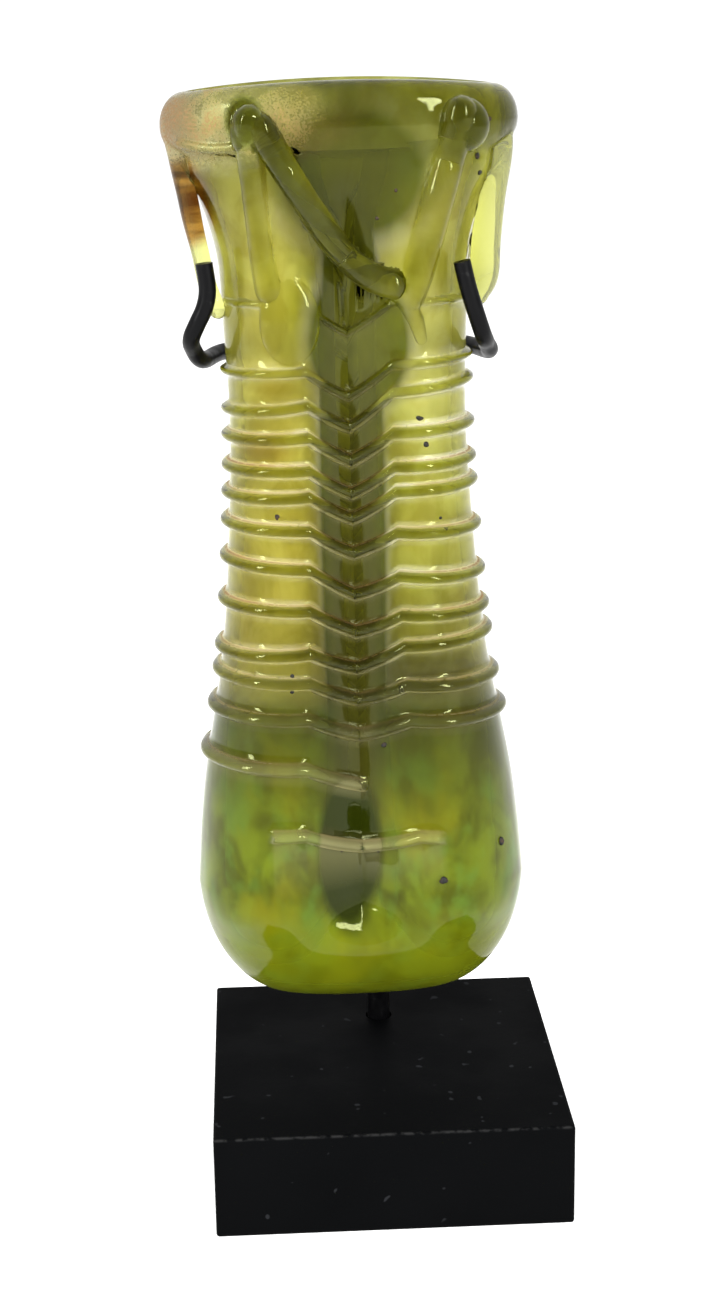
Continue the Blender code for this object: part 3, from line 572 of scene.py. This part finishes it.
# Across, height, half width, half height, half thickness
PADS = [(-7.6, 98.4, 4.0, 5.8, 1.5), (-11.6, 122.6, 2.8, 3.4, 2.4), (15.2, 122.8, 3.6, 3.6, 2.6)]
STRAND_SIDES, STRAND_STEPS = 20, 9
STRAND_SWELL = 0.04
PAD_LEVELS, PAD_SIDES = 15, 32
PAD_POLE = 0.03  # angle at which a pad's ends are closed


def glass_surface(x, z):
    """Depth of the body's skin at x and z, along the lip's bead too."""
    width, depth, web, furrow = body_sizes(z)
    share = np.clip((z - STATIONS[-1, 0]) / (LIP_HEIGHT - STATIONS[-1, 0]), 0.0, 1.0)
    width = width + (LIP_HALF_WIDTH + LIP_OUT - width) * share
    depth = depth + (LIP_HALF_DEPTH + LIP_OUT - depth) * share
    return half_thickness(x, width, depth, web, np.where(share > 0.0, 0.0, furrow))


def smooth_route(points, steps):
    """Curve through the points, cubic between each two (Catmull-Rom), as rows of the points' own values."""
    points = np.asarray(points, dtype=float)
    padded = np.vstack([2 * points[0] - points[1], points, 2 * points[-1] - points[-2]])
    t = (np.arange(steps) / steps)[None, :, None]
    p0, p1, p2, p3 = (padded[k:len(padded) - 3 + k, None, :] for k in range(4))
    curve = 0.5 * (2 * p1 + (p2 - p0) * t + (2 * p0 - 5 * p1 + 4 * p2 - p3) * t ** 2
                   + (3 * p1 - p0 - 3 * p2 + p3) * t ** 3)
    return np.vstack([curve.reshape(-1, points.shape[1]), points[-1]])


def rod_mesh(name, centres, radii, sides, reference, flat=1.0, ends=3):
    """Round rod: circles square to the path, `flat` times as thick towards the reference, with domed ends."""
    centres, radii = np.asarray(centres), np.asarray(radii)
    tangent = np.gradient(centres, axis=0)
    tangent /= np.linalg.norm(tangent, axis=1, keepdims=True)
    dome = np.linspace(0.0, 1.0, ends + 1)[1:]
    if ends:
        tip = np.sqrt(np.clip(1.0 - (dome * 0.96) ** 2, 0.0, None))
        first = centres[0] - tangent[0] * (dome * radii[0])[:, None]
        last = centres[-1] + tangent[-1] * (dome * radii[-1])[:, None]
        centres = np.vstack([first[::-1], centres, last])
        radii = np.concatenate([(radii[0] * tip)[::-1], radii, radii[-1] * tip])
        tangent = np.vstack([np.repeat(tangent[:1], ends, 0), tangent, np.repeat(tangent[-1:], ends, 0)])
    out = np.broadcast_to(np.asarray(reference, dtype=float), tangent.shape)
    out = out - (out * tangent).sum(1, keepdims=True) * tangent
    out /= np.linalg.norm(out, axis=1, keepdims=True)
    across = np.cross(tangent, out)
    angle = 2 * pi * np.arange(sides) / sides
    points = (centres[:, None] + radii[:, None, None] * (flat * out[:, None] * np.cos(angle)[None, :, None]
                                                        + across[:, None] * np.sin(angle)[None, :, None]))
    return closed_mesh(name, points)


def strand_mesh(name, route, seed, facing=-1, forward=None):
    """A strand laid on the front (facing -1) or the back (+1); `forward` sets a free strand's own depth."""
    x, z, standoff, radius = (smooth_route(np.array(route) * MM, STRAND_STEPS)).T
    depth = np.full(len(x), forward) if forward is not None else glass_surface(x, z) + standoff
    radius = radius * (1.0 + STRAND_SWELL * ripple(x, z, seed, 6 * MM))
    return rod_mesh(name, np.stack([x, facing * depth, z], axis=1), radius, STRAND_SIDES, (0.0, -1.0, 0.0))


def pad_mesh(name, across, height, half_width, half_height, half_thick):
    """Flattened blob of glass on the front skin: a ball squashed along each axis."""
    lift = np.linspace(PAD_POLE, pi - PAD_POLE, PAD_LEVELS)[:, None]
    turn = np.linspace(0, 2 * pi, PAD_SIDES + 1)[None, :-1]
    points = np.stack([across + half_width * np.sin(lift) * np.cos(turn),
                       -float(glass_surface(across, height)) + half_thick * np.sin(lift) * np.sin(turn),
                       height + half_height * np.cos(lift) * np.ones_like(turn)], axis=-1)
    return closed_mesh(name, points)


def outward(mesh):
    """Turns the mesh's faces so that they all point out."""
    build = bmesh.new()
    build.from_mesh(mesh)
    bmesh.ops.recalc_face_normals(build, faces=build.faces)
    build.to_mesh(mesh)
    build.free()
    return mesh


# What each face belongs to, while the flask is put together
SKIN, STRAND, CORD_GLASS, CLEAR, INSIDE = KINDS = range(5)


def marked(mesh, kind):
    """The mesh, with the kind written on all its faces as their material index."""
    for _ in KINDS:
        mesh.materials.append(None)
    mesh.polygons.foreach_set("material_index", np.full(len(mesh.polygons), kind, dtype=np.int32))
    return mesh


def collection_of(name, meshes, kind=SKIN):
    """Bodies of one kind, to be joined or cut together."""
    made = bpy.data.collections.new(name)
    scene.collection.children.link(made)
    for mesh in meshes:
        made.objects.link(bpy.data.objects.new(mesh.name, marked(outward(mesh), kind)))
    return made


def worked(name, mesh, steps):
    """The mesh with each collection of bodies joined to it or cut from it, as a new mesh."""
    blank = piece_of(name, marked(outward(mesh), SKIN))
    for operation, tools in steps:
        change = blank.modifiers.new(tools.name, 'BOOLEAN')
        change.operation = operation
        change.solver = 'EXACT'
        change.operand_type = 'COLLECTION'
        change.collection = tools
    bpy.context.view_layer.update()
    made = bpy.data.meshes.new_from_object(blank.evaluated_get(bpy.context.evaluated_depsgraph_get()))
    made.name = name
    for _, tools in steps:
        for tool in list(tools.objects):
            bpy.data.objects.remove(tool)
        bpy.data.collections.remove(tools)
    bpy.data.objects.remove(blank)
    return made


JOINT_ROUNDS, SHARP_EDGE = 4, radians(50.0)
trails = collection_of("trails", [
    strand_mesh("first_fall", FIRST_FALL, 1), pad_mesh("pad", *(size * MM for size in PADS[0])),
    strand_mesh("second_rise", SECOND_RISE, 3), strand_mesh("drip", DRIP, 4),
    strand_mesh("lip_thread", LIP_THREAD, 7),
    strand_mesh("rear_zigzag", REAR_ZIGZAG, 8, facing=1)], STRAND)
deep_trails = collection_of("deep_trails", [
    strand_mesh("cord", CORD, 2),
    *(pad_mesh("glob", *(size * MM for size in sizes)) for sizes in PADS[1:])], CORD_GLASS)
clear_trails = collection_of("clear_trails", [
    strand_mesh("left_strand", LEFT_STRAND, 5, forward=LEFT_STRAND_FORWARD),
    strand_mesh("right_strand", RIGHT_STRAND, 6, forward=RIGHT_STRAND_FORWARD)], CLEAR)
hollows = collection_of("hollows", [mouth_mesh(), bore_mesh(-1.0), bore_mesh(1.0)], INSIDE)
flask_mesh = worked("flask", skin_mesh(), [('UNION', trails), ('UNION', deep_trails), ('UNION', clear_trails),
                                          ('DIFFERENCE', hollows)])


def points_of(mesh):
    """The mesh's points as rows of an array."""
    points = np.empty(len(mesh.vertices) * 3, dtype=np.float32)
    mesh.vertices.foreach_get("co", points)
    return points.reshape(-1, 3).astype(float)


def shares_of(mesh):
    """For each point, whether faces of each kind meet at it, as a row of truth values a kind."""
    kinds = np.empty(len(mesh.polygons), dtype=np.int32)
    sides = np.empty(len(mesh.polygons), dtype=np.int32)
    corners = np.empty(len(mesh.loops), dtype=np.int32)
    mesh.polygons.foreach_get("material_index", kinds)
    mesh.polygons.foreach_get("loop_total", sides)
    mesh.loops.foreach_get("vertex_index", corners)
    at_corner = np.repeat(kinds, sides)
    return np.array([np.bincount(corners[at_corner == kind], minlength=len(mesh.vertices)) > 0
                     for kind in KINDS])


def relax(mesh, chosen, held, rounds):
    """Moves the chosen points halfway to the middle of their neighbours, as hot glass softens a joint, and the
    ones next to them by 0.6 of that, then 0.36. Held points stay."""
    edges = np.empty(len(mesh.edges) * 2, dtype=np.int32)
    mesh.edges.foreach_get("vertices", edges)
    a, b = edges.reshape(-1, 2).T
    count = np.bincount(a, minlength=len(chosen)) + np.bincount(b, minlength=len(chosen))
    weight = chosen.astype(float)
    for _ in range(2):
        spread = np.maximum(np.bincount(a, weight[b], len(chosen)), np.bincount(b, weight[a], len(chosen)))
        weight = np.maximum(weight, 0.6 * np.minimum(spread, 1.0))
    weight[held] = 0.0
    points = points_of(mesh)
    for _ in range(rounds):
        middle = np.stack([np.bincount(a, points[b, k], len(chosen)) + np.bincount(b, points[a, k], len(chosen))
                           for k in range(3)], axis=1) / np.maximum(count, 1)[:, None]
        points += 0.5 * weight[:, None] * (middle - points)
    mesh.vertices.foreach_set("co", points.astype(np.float32).ravel())
    mesh.update()


skin_at, strand_at, cord_at, clear_at, inside_at = shares_of(flask_mesh)
relax(flask_mesh, skin_at & (strand_at | cord_at | clear_at), inside_at, JOINT_ROUNDS)
for name, points in (("inside", inside_at), ("strand", strand_at & ~skin_at), ("cord", cord_at & ~skin_at),
                     ("clear", clear_at & ~skin_at)):
    flask_mesh.attributes.new(name, 'FLOAT', 'POINT').data.foreach_set("value", points.astype(np.float32))
flask_mesh.transform(flask_place)
flask = piece_of("glass_flask", flask_mesh)
flask.data.shade_smooth()
flask.data.set_sharp_from_angle(angle=SHARP_EDGE)

# The flask's glass. One see-through yellow-green glass, nearly clear at the waist and deep in the belly, the
# lip and the trails. Tan soil is baked on along the thread and the rim's left, and swirls veil the front skin.

# Tint by height above the table
GLASS_TINTS = [(26.0, (1.0, 1.0, 0.45)), (36.0, (0.90, 1.0, 0.36)), (46.0, (0.74, 0.84, 0.30)),
               (64.0, (0.58, 0.58, 0.18)), (80.0, (0.76, 0.74, 0.52)), (96.0, (0.93, 0.92, 0.74)),
               (112.0, (1.0, 0.99, 0.90)), (122.0, (0.97, 0.96, 0.86)), (138.0, (0.84, 0.82, 0.62)),
               (145.0, (0.56, 0.56, 0.28)), (154.0, (0.44, 0.45, 0.16))]
TINTS_TOP = 160.0
# Places with a tint of their own: centre, half sizes, softness, tilt in degrees, tint
# The first mark (the web) and the last (the furrow) are partly thick glass's deep colour, partly painted shade
GLASS_MARKS = [
    ((-4.4, 0.0, 46.5), (4.6, 14.0, 10.0), 0.12, 0.0, (0.30, 0.32, 0.07)),  # thick web at the furrow's end
    ((8.5, 0.0, 66.0), (7.5, 14.0, 9.0), 0.5, 0.0, (0.52, 0.46, 0.24)),  # dark smoky patch on the right
    ((6.0, 0.0, 75.5), (8.0, 14.0, 4.0), 0.5, 0.0, (0.44, 0.42, 0.32)),  # its greyer upper end
    ((-14.0, 0.0, 66.0), (6.0, 14.0, 9.0), 0.5, 0.0, (0.70, 0.72, 0.34)),  # olive patch in the belly
    ((-4.0, 0.0, 32.6), (12.0, 14.0, 0.9), 0.5, 0.0, (0.42, 0.44, 0.14)),  # dark band above the underside
    ((-16.0, -8.0, 107.0), (3.6, 5.0, 1.5), 0.7, 0.0, (0.80, 0.68, 0.42)),  # brown stains in the left tube
    ((-14.0, -8.0, 115.5), (2.6, 5.0, 1.1), 0.7, 0.0, (0.78, 0.72, 0.48)),
    ((-3.4, -6.0, 99.4), (2.6, 5.0, 1.2), 0.6, -12.0, (0.80, 0.36, 0.14)),  # rust in the furrow
    ((-15.0, -8.0, 88.0), (9.0, 7.0, 34.0), 0.5, 0.0, (0.95, 0.88, 0.72)),  # the left tube is browner
    ((-3.6, 0.0, 92.0), (3.6, 14.0, 58.0), 0.35, 0.0, (0.74, 0.72, 0.58)),  # the furrow's thick glass
]
# Bright wedges where light comes through between the tubes: centre, half sizes, tilt
WEDGES = [((3.9, -9.0, 55.5), (1.5, 6.0, 13.0), -19.0), ((-10.3, -9.0, 60.0), (1.9, 6.0, 8.0), 12.0)]
WEDGE_SHARE, WEDGE_TINT = 0.8, (0.82, 1.0, 0.45)
# Where the furrow's thick glass, with painted shade on it too, hides what is behind: centre, half sizes,
# strength
THICK_AND_SHADED_PLACES = [((-2.5, -8.0, 121.5), (5.0, 14.0, 7.0), 0.5), ((-3.0, -10.0, 143.0), (8.0, 16.0, 7.0), 0.32)]
# Veil colours for the thick places, the furrow and the web's end: deep colour of thick glass with painted shade
OLIVE, FURROW_OLIVE_AND_SHADE, WEB_DEEP_AND_SHADE = (0.060, 0.062, 0.006), (0.050, 0.049, 0.006), (0.009, 0.013, 0.0002)
# Soil; the painted highlight under the thread; the painted sheen at the rim's left corner
SOIL, HIGHLIGHT_COLOUR, RIM_CORNER_SHEEN = (0.19, 0.098, 0.046), (0.62, 0.56, 0.26), (0.15, 0.13, 0.09)


def painted(finish, name):
    """Amount of the finish that the mesh carries on its points."""
    return finish.step("Attribute", {}, attribute_name=name).outputs["Fac"]


def within(finish, centre, sizes, soft=0.35, tilt=0.0):
    """1 inside the ellipsoid of the given centre and half sizes in mm, 0 outside, with a soft edge."""
    placed = finish.step("Mapping", {"Vector": finish.place, "Location": [c * MM for c in centre],
                                     "Rotation": (0.0, radians(tilt), 0.0), "Scale": [s * MM for s in sizes]},
                         vector_type='TEXTURE')
    far = finish.step("VectorMath", {0: placed.outputs["Vector"]}, operation='LENGTH').outputs["Value"]
    return finish.ramp(far, 1.0 + soft, 1.0 - soft)


def graded(finish, value, stops, top):
    """Colour that follows the value from 0 to top through the stops, each a value in mm and a colour."""
    made = finish.step("ValToRGB", {"Fac": finish.maths('DIVIDE', value, top * MM)})
    points = made.color_ramp.elements
    while len(points) < len(stops):
        points.new(0.5)
    for point, (place, _) in zip(points, stops):
        point.position = place / top
    for point, (_, colour) in zip(points, stops):
        point.color = (*colour, 1.0)
    return made.outputs["Color"]


glass = Finish("yellow_green_glass", (0.97, 0.98, 0.93), 0.03)
glass.give({"Specular Tint": (0.28, 0.30, 0.14), "IOR": 1.5})
absorb = glass.step("VolumeAbsorption", {"Color": (0.77, 0.768, 0.12), "Density": 430.0})
glass.feed(glass.tree.nodes["Material Output"].inputs["Volume"], absorb.outputs["Volume"])
height, inside = glass.along("Z"), painted(glass, "inside")
mottle = glass.noise(110.0, 4.0, (1.0, 1.0, 0.55))
cloud = glass.noise(260.0, 5.0, (1.0, 1.0, 0.7))
swirl = glass.noise(170.0, 4.0, (1.0, 1.0, 0.7), 0.7)
streaks = glass.noise(420.0, 2.0, (1.0, 1.0, 0.07))
grit, crumbs = glass.noise(1500.0), glass.noise(3600.0, 8.0)
belly = glass.ramp(height, 74 * MM, 52 * MM)

# The clear glass: graded by height, mottled, streaked, and stained in places
tint = graded(glass, height, GLASS_TINTS, TINTS_TOP)
patchy = glass.times(glass.ramp(mottle, 0.42, 0.66), glass.maths('ADD', glass.times(belly, 0.55), 0.4))
tint = glass.blend(patchy, tint, (0.66, 0.67, 0.34), 'MULTIPLY')
tint = glass.blend(glass.ramp(swirl, 0.42, 0.62, 0.0, 0.75), tint, (0.70, 0.66, 0.38), 'MULTIPLY')
tint = glass.blend(glass.times(glass.ramp(cloud, 0.52, 0.66), belly, 0.6), tint, (0.62, 0.95, 0.50))
tint = glass.blend(glass.ramp(streaks, 0.5, 0.75, 0.0, 0.6), tint, (0.84, 0.86, 0.62), 'MULTIPLY')
for centre, sizes, soft, tilt, stain in GLASS_MARKS:
    tint = glass.blend(within(glass, centre, sizes, soft, tilt), tint, stain, 'MULTIPLY')
for centre, sizes, tilt in WEDGES:
    tint = glass.blend(glass.times(WEDGE_SHARE, within(glass, centre, sizes, 0.3, tilt)), tint, WEDGE_TINT)

# The cord, the globs and the thread's middle are deeper in colour, the free strands clearer
deep, clear = glass.most(painted(glass, "deep"), painted(glass, "cord")), painted(glass, "clear")
tint = glass.blend(painted(glass, "strand"), tint, (0.80, 0.80, 0.60), 'MULTIPLY')
tint = glass.blend(deep, tint, (0.50, 0.54, 0.17), 'MULTIPLY')
tint = glass.blend(clear, tint, (0.80, 0.82, 0.46))
tint = glass.blend(glass.times(inside, belly), tint, (0.74, 0.72, 0.45), 'MULTIPLY')
first_glob = within(glass, (-16.8, -12.0, 150.0), (2.4, 6.0, 3.2), 0.25)
tint = glass.blend(first_glob, tint, (0.42, 0.50, 0.12))
bands = glass.ramp(glass.noise(620.0, 2.0, (0.15, 0.15, 1.0)), 0.38, 0.62)
brown = within(glass, (-25.0, -2.0, 139.5), (4.5, 6.0, 6.0), 0.2)
tint = glass.blend(brown, tint, glass.blend(bands, (0.12, 0.04, 0.01), (0.50, 0.27, 0.07)))

# Soil along the thread and the rim's left, a painted highlight under the thread, painted sheen at the left
# corner
rim_left = within(glass, (-21.0, -6.0, 150.0), (15.0, 14.0, 5.5), 0.45)
crust = glass.times(glass.ramp(crumbs, 0.32, 0.66, 0.4, 0.95), glass.ramp(swirl, 0.36, 0.62, 0.35, 0.95),
                    glass.rest(glass.most(first_glob, deep)))
earth = glass.most(glass.times(painted(glass, "earth"), glass.ramp(grit, 0.22, 0.5, 0.35, 1.0)),
                   glass.times(rim_left, crust))
# Painted highlight: pale yellow laid partly opaque along the thread's lower foot
gleam = glass.times(painted(glass, "gleam"), 0.55)
# Painted sheen: grey laid half opaque on the rim's left corner, where the thick rounded rim looks grey-white
rim_corner_sheen = within(glass, (-27.0, -3.0, 150.5), (5.0, 9.0, 5.0), 0.6)

# The veil of swirls: olive in the furrow, mottled in the belly, dark at the furrow's end. The furrow's olive
# and the dark at its end are partly the deep colour of thick glass and partly painted shade.
furrow = within(glass, (-3.6, -8.0, 96.0), (3.9, 14.0, 53.0), 0.4)
web = within(glass, (-4.8, -10.0, 50.0), (4.6, 9.0, 11.5), 0.14)
veil_colour = glass.blend(glass.ramp(swirl, 0.36, 0.62), (0.135, 0.175, 0.007), (0.055, 0.063, 0.0015))
for share, colour in ((glass.ramp(cloud, 0.46, 0.68, 0.0, 0.7), (0.10, 0.185, 0.020)),
                      (glass.ramp(mottle, 0.50, 0.70, 0.0, 0.8), (0.19, 0.185, 0.002)),
                      (glass.ramp(height, 48 * MM, 64 * MM, 0.0, 0.6), (0.050, 0.056, 0.001)),
                      (glass.ramp(height, 44 * MM, 35 * MM, 0.0, 0.6), (0.175, 0.205, 0.006)),
                      (furrow, FURROW_OLIVE_AND_SHADE), (web, WEB_DEEP_AND_SHADE)):
    veil_colour = glass.blend(share, veil_colour, colour)
veil = glass.most(glass.ramp(height, 80 * MM, 56 * MM, 0.0, 0.42), glass.times(furrow, 0.38),
                  glass.times(web, 0.8))
for centre, sizes, strength in THICK_AND_SHADED_PLACES:
    here = within(glass, centre, sizes, 0.85)
    veil = glass.most(veil, glass.times(strength, here))
    veil_colour = glass.blend(here, veil_colour, OLIVE)
outer = glass.times(glass.rest(inside), glass.ramp(glass.along("Y"), 4.0 * MM, -3.0 * MM, 0.3, 1.0))
veil = glass.times(veil, outer, glass.ramp(deep, 0.0, 1.0, 1.0, 0.3))

colour = glass.blend(glass.times(rim_corner_sheen, 0.8), tint, RIM_CORNER_SHEEN)
colour = glass.blend(glass.ramp(veil, 0.0, 0.16), colour, veil_colour)
colour = glass.blend(gleam, colour, HIGHLIGHT_COLOUR)
colour = glass.blend(earth, colour, SOIL)
# Inside, a mottled film left by burial keeps the glass from being quite clear; the back is rougher
film_inside = glass.times(inside, glass.ramp(mottle, 0.35, 0.65, 0.08, 0.34))
cover = glass.most(glass.times(earth, 0.85), glass.times(gleam, 0.8), glass.times(rim_corner_sheen, 0.5), film_inside,
                   glass.times(clear, 0.12), veil)
behind = glass.ramp(glass.along("Y"), 1.0 * MM, 5.0 * MM, 0.0, 0.5)
rough = glass.most(glass.maths('ADD', glass.ramp(mottle, 0.4, 0.7, 0.03, 0.10), behind),
                   glass.times(inside, 0.5), glass.times(earth, 0.8),
                   glass.ramp(height, 33 * MM, 27 * MM, 0.0, 0.45))
glass.give({"Base Color": colour, "Roughness": rough, "Transmission Weight": glass.rest(cover),
            "Normal": glass.relief(glass.noise(260.0, 2.0, (1.0, 1.0, 0.3)), 0.4, 0.2 * MM)})
glass.cover(flask)
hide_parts("glass_bottle")
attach(flask, "root")

# The black specks. Grains of burnt slag from the glassmaker's furnace, and crumbs of dark soil, that stick in
# the front skin of the flask. Each is an uneven lump less than a millimetre across, half sunk in the glass.

# Across, height, half width, half height
SPECKS = [(17.2, 120.4, 0.35, 0.8), (17.4, 118.7, 0.3, 0.45), (19.0, 123.4, 0.25, 0.3),
          (17.8, 116.6, 0.35, 0.35), (18.0, 112.2, 0.4, 0.4), (17.3, 107.4, 0.45, 0.95),
          (17.9, 105.8, 0.4, 0.8), (17.7, 104.0, 0.4, 0.5),
          (4.2, 111.4, 0.25, 0.25), (6.6, 114.9, 0.22, 0.25), (9.2, 85.0, 0.45, 0.35), (10.0, 81.5, 0.4, 0.4),
          (-10.2, 72.4, 0.3, 0.4), (12.4, 69.6, 0.3, 0.3), (11.8, 71.3, 0.22, 0.22), (-9.0, 50.5, 0.3, 0.35),
          (-9.1, 48.4, 0.3, 0.35), (6.0, 47.8, 0.4, 0.45), (3.4, 39.6, 0.45, 0.35), (19.4, 24.6, 0.5, 0.6),
          (11.0, 20.4, 0.6, 0.5), (-9.0, 28.0, 0.3, 0.45), (2.2, 23.8, 0.22, 0.22), (-3.0, 24.2, 0.2, 0.2)]
SPECK_LEVELS, SPECK_SIDES = 7, 10
SPECK_POLE, SPECK_SWELL, SPECK_THICK, SPECK_SEED = 0.12, 0.35, 0.7, 60


def speck_meshes():
    """Lumps on the front skin: balls squashed along each axis and swelled a little at random, as arrays."""
    lift = np.linspace(SPECK_POLE, pi - SPECK_POLE, SPECK_LEVELS)[:, None]
    turn = (2 * pi * np.arange(SPECK_SIDES) / SPECK_SIDES)[None, :]
    points, quads, ends = [], [], []
    for number, (across, height, half_width, half_height) in enumerate(np.array(SPECKS) * MM):
        uneven = ripple(np.sin(lift) * np.cos(turn) * MM, np.cos(lift) * MM + 0 * turn,
                        SPECK_SEED + number, 2 * MM)
        swell = 1.0 + SPECK_SWELL * uneven
        depth = float(glass_surface(across, height))
        first = number * SPECK_LEVELS * SPECK_SIDES
        points.append(np.stack([across + half_width * np.sin(lift) * np.cos(turn) * swell,
                                -depth + half_width * SPECK_THICK * np.sin(lift) * np.sin(turn) * swell,
                                height + half_height * np.cos(lift) * swell], axis=-1).reshape(-1, 3))
        quads.append(first + grid_faces(SPECK_LEVELS, SPECK_SIDES, True))
        last = first + SPECK_LEVELS * SPECK_SIDES - 1
        ends += [first + np.arange(SPECK_SIDES), last - np.arange(SPECK_SIDES)]
    return mesh_of("black_specks", np.concatenate(points), np.concatenate(quads), ends)


speck_mesh = outward(speck_meshes())
speck_mesh.transform(flask_place)
specks = piece_of("black_specks", speck_mesh)
specks.data.shade_smooth()
slag = Finish("burnt_slag", (0.01, 0.01, 0.008), 0.6)
crumbs = slag.noise(1800.0)
slag.give({"Base Color": slag.blend(slag.ramp(crumbs, 0.45, 0.65), (0.006, 0.006, 0.005), (0.03, 0.018, 0.01)),
           "Roughness": slag.ramp(crumbs, 0.3, 0.7, 0.45, 0.8), "Specular IOR Level": 0.2})
slag.cover(specks)
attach(specks, "root")

# The cradle. A round metal rod stands in the block, and a bent wire is soldered across its top. The wire goes
# round the back of the flask's waist and ends in two hooks at the front. It is painted satin black.

ROD_RADIUS = 1.7 * MM
ROD_Y = 12.8 * MM
ROD_FOOT = 6.3 * MM
WIRE_RADIUS = 1.15 * MM
WIRE_STANDOFF = 3.1 * MM
CRADLE_RISE = 92.6 * MM
ROD_ABOVE_WIRE = 0.9 * MM
ROD_SIDES, ROD_RINGS, ROD_BEVEL, ROD_FOOT_BEVEL = 32, 40, 0.3 * MM, 0.2 * MM
WIRE_SIDES, ARC_POINTS, WIRE_STEPS = 24, 9, 8
WIRE_GLOSS = 0.06
# Out from the waist's side, forward of its middle, above the wire at the back
LEFT_HOOK = MM * np.array([(4.3, 3.5, 2.2), (4.3, 5.6, 3.8), (3.5, 6.5, 5.6), (2.4, 6.8, 7.8), (1.9, 6.9, 10.2),
                           (2.2, 7.0, 13.6)])
RIGHT_HOOK = MM * np.array([(2.4, 4.0, 1.7), (1.7, 6.5, 3.2), (0.7, 7.8, 6.1), (-0.3, 8.2, 9.4),
                            (-1.1, 8.3, 12.9)])


def wire_route():
    """Middle line of the wire, hook to hook round the back of the waist, a fixed distance off the glass."""
    width, depth, _, _ = (float(v) for v in body_sizes(CRADLE_RISE))
    turn, height = np.linspace(1.0, 0.5, ARC_POINTS), np.full(ARC_POINTS, CRADLE_RISE)
    x, y = proud_outline(turn, height, WIRE_STANDOFF)
    y = np.where(np.abs(x) < width - depth, depth + WIRE_STANDOFF, y)
    arc = np.stack([x, y, height], axis=1)
    left = np.array([-width, 0.0, CRADLE_RISE]) + LEFT_HOOK * (-1.0, -1.0, 1.0)
    right = np.array([width, 0.0, CRADLE_RISE]) + RIGHT_HOOK * (1.0, -1.0, 1.0)
    return smooth_route(np.vstack([left[::-1], arc, right]), WIRE_STEPS)


def carried_frames(centres):
    """Directions square to the path, carried along it without twist: each turned with the path's own bend."""
    tangent = np.gradient(centres, axis=0)
    tangent /= np.linalg.norm(tangent, axis=1, keepdims=True)
    out = [np.array([0.0, 1.0, 0.0])]
    for t in tangent:
        side = out[-1] - np.dot(out[-1], t) * t
        out.append(side / np.linalg.norm(side))
    return np.array(out[1:])


wire_centres = wire_route()
wire = rod_mesh("wire", wire_centres, np.full(len(wire_centres), WIRE_RADIUS), WIRE_SIDES,
                carried_frames(wire_centres), ends=0)
wire.transform(flask_place)
rod_top = BLOCK_HEIGHT + FLASK_LIFT + CRADLE_RISE + ROD_ABOVE_WIRE
rod_heights = np.linspace(ROD_FOOT + ROD_FOOT_BEVEL, rod_top - ROD_BEVEL, ROD_RINGS)
rod_heights = np.concatenate([[ROD_FOOT], rod_heights, [rod_top]])
rod_sizes = np.full(len(rod_heights), ROD_RADIUS)
rod_sizes[[0, -1]] -= ROD_BEVEL
rod_line = np.stack([0 * rod_heights, np.full(len(rod_heights), ROD_Y), rod_heights], axis=1)
rod = rod_mesh("rod", rod_line, rod_sizes, ROD_SIDES, (0.0, 1.0, 0.0), ends=0)
cradle_mesh = worked("cradle", rod, [('UNION', collection_of("wires", [wire]))])
cradle = piece_of("wire_cradle", cradle_mesh)
cradle.data.shade_smooth()
cradle.data.set_sharp_from_angle(angle=radians(45.0))
satin = Finish("satin_wire_paint", (0.003, 0.003, 0.0032), 0.34)
grain = satin.noise(700.0)
wire_tone = satin.blend(satin.ramp(grain, 0.66, 0.72), (0.0015, 0.0015, 0.0017), (0.008, 0.008, 0.008))
satin.give({"Base Color": wire_tone, "Roughness": satin.ramp(grain, 0.3, 0.7, 0.28, 0.46),
            "Specular IOR Level": WIRE_GLOSS, "Normal": satin.relief(grain, 0.2, 0.08 * MM)})
satin.cover(cradle)
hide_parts("cradle")
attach(cradle, "root")
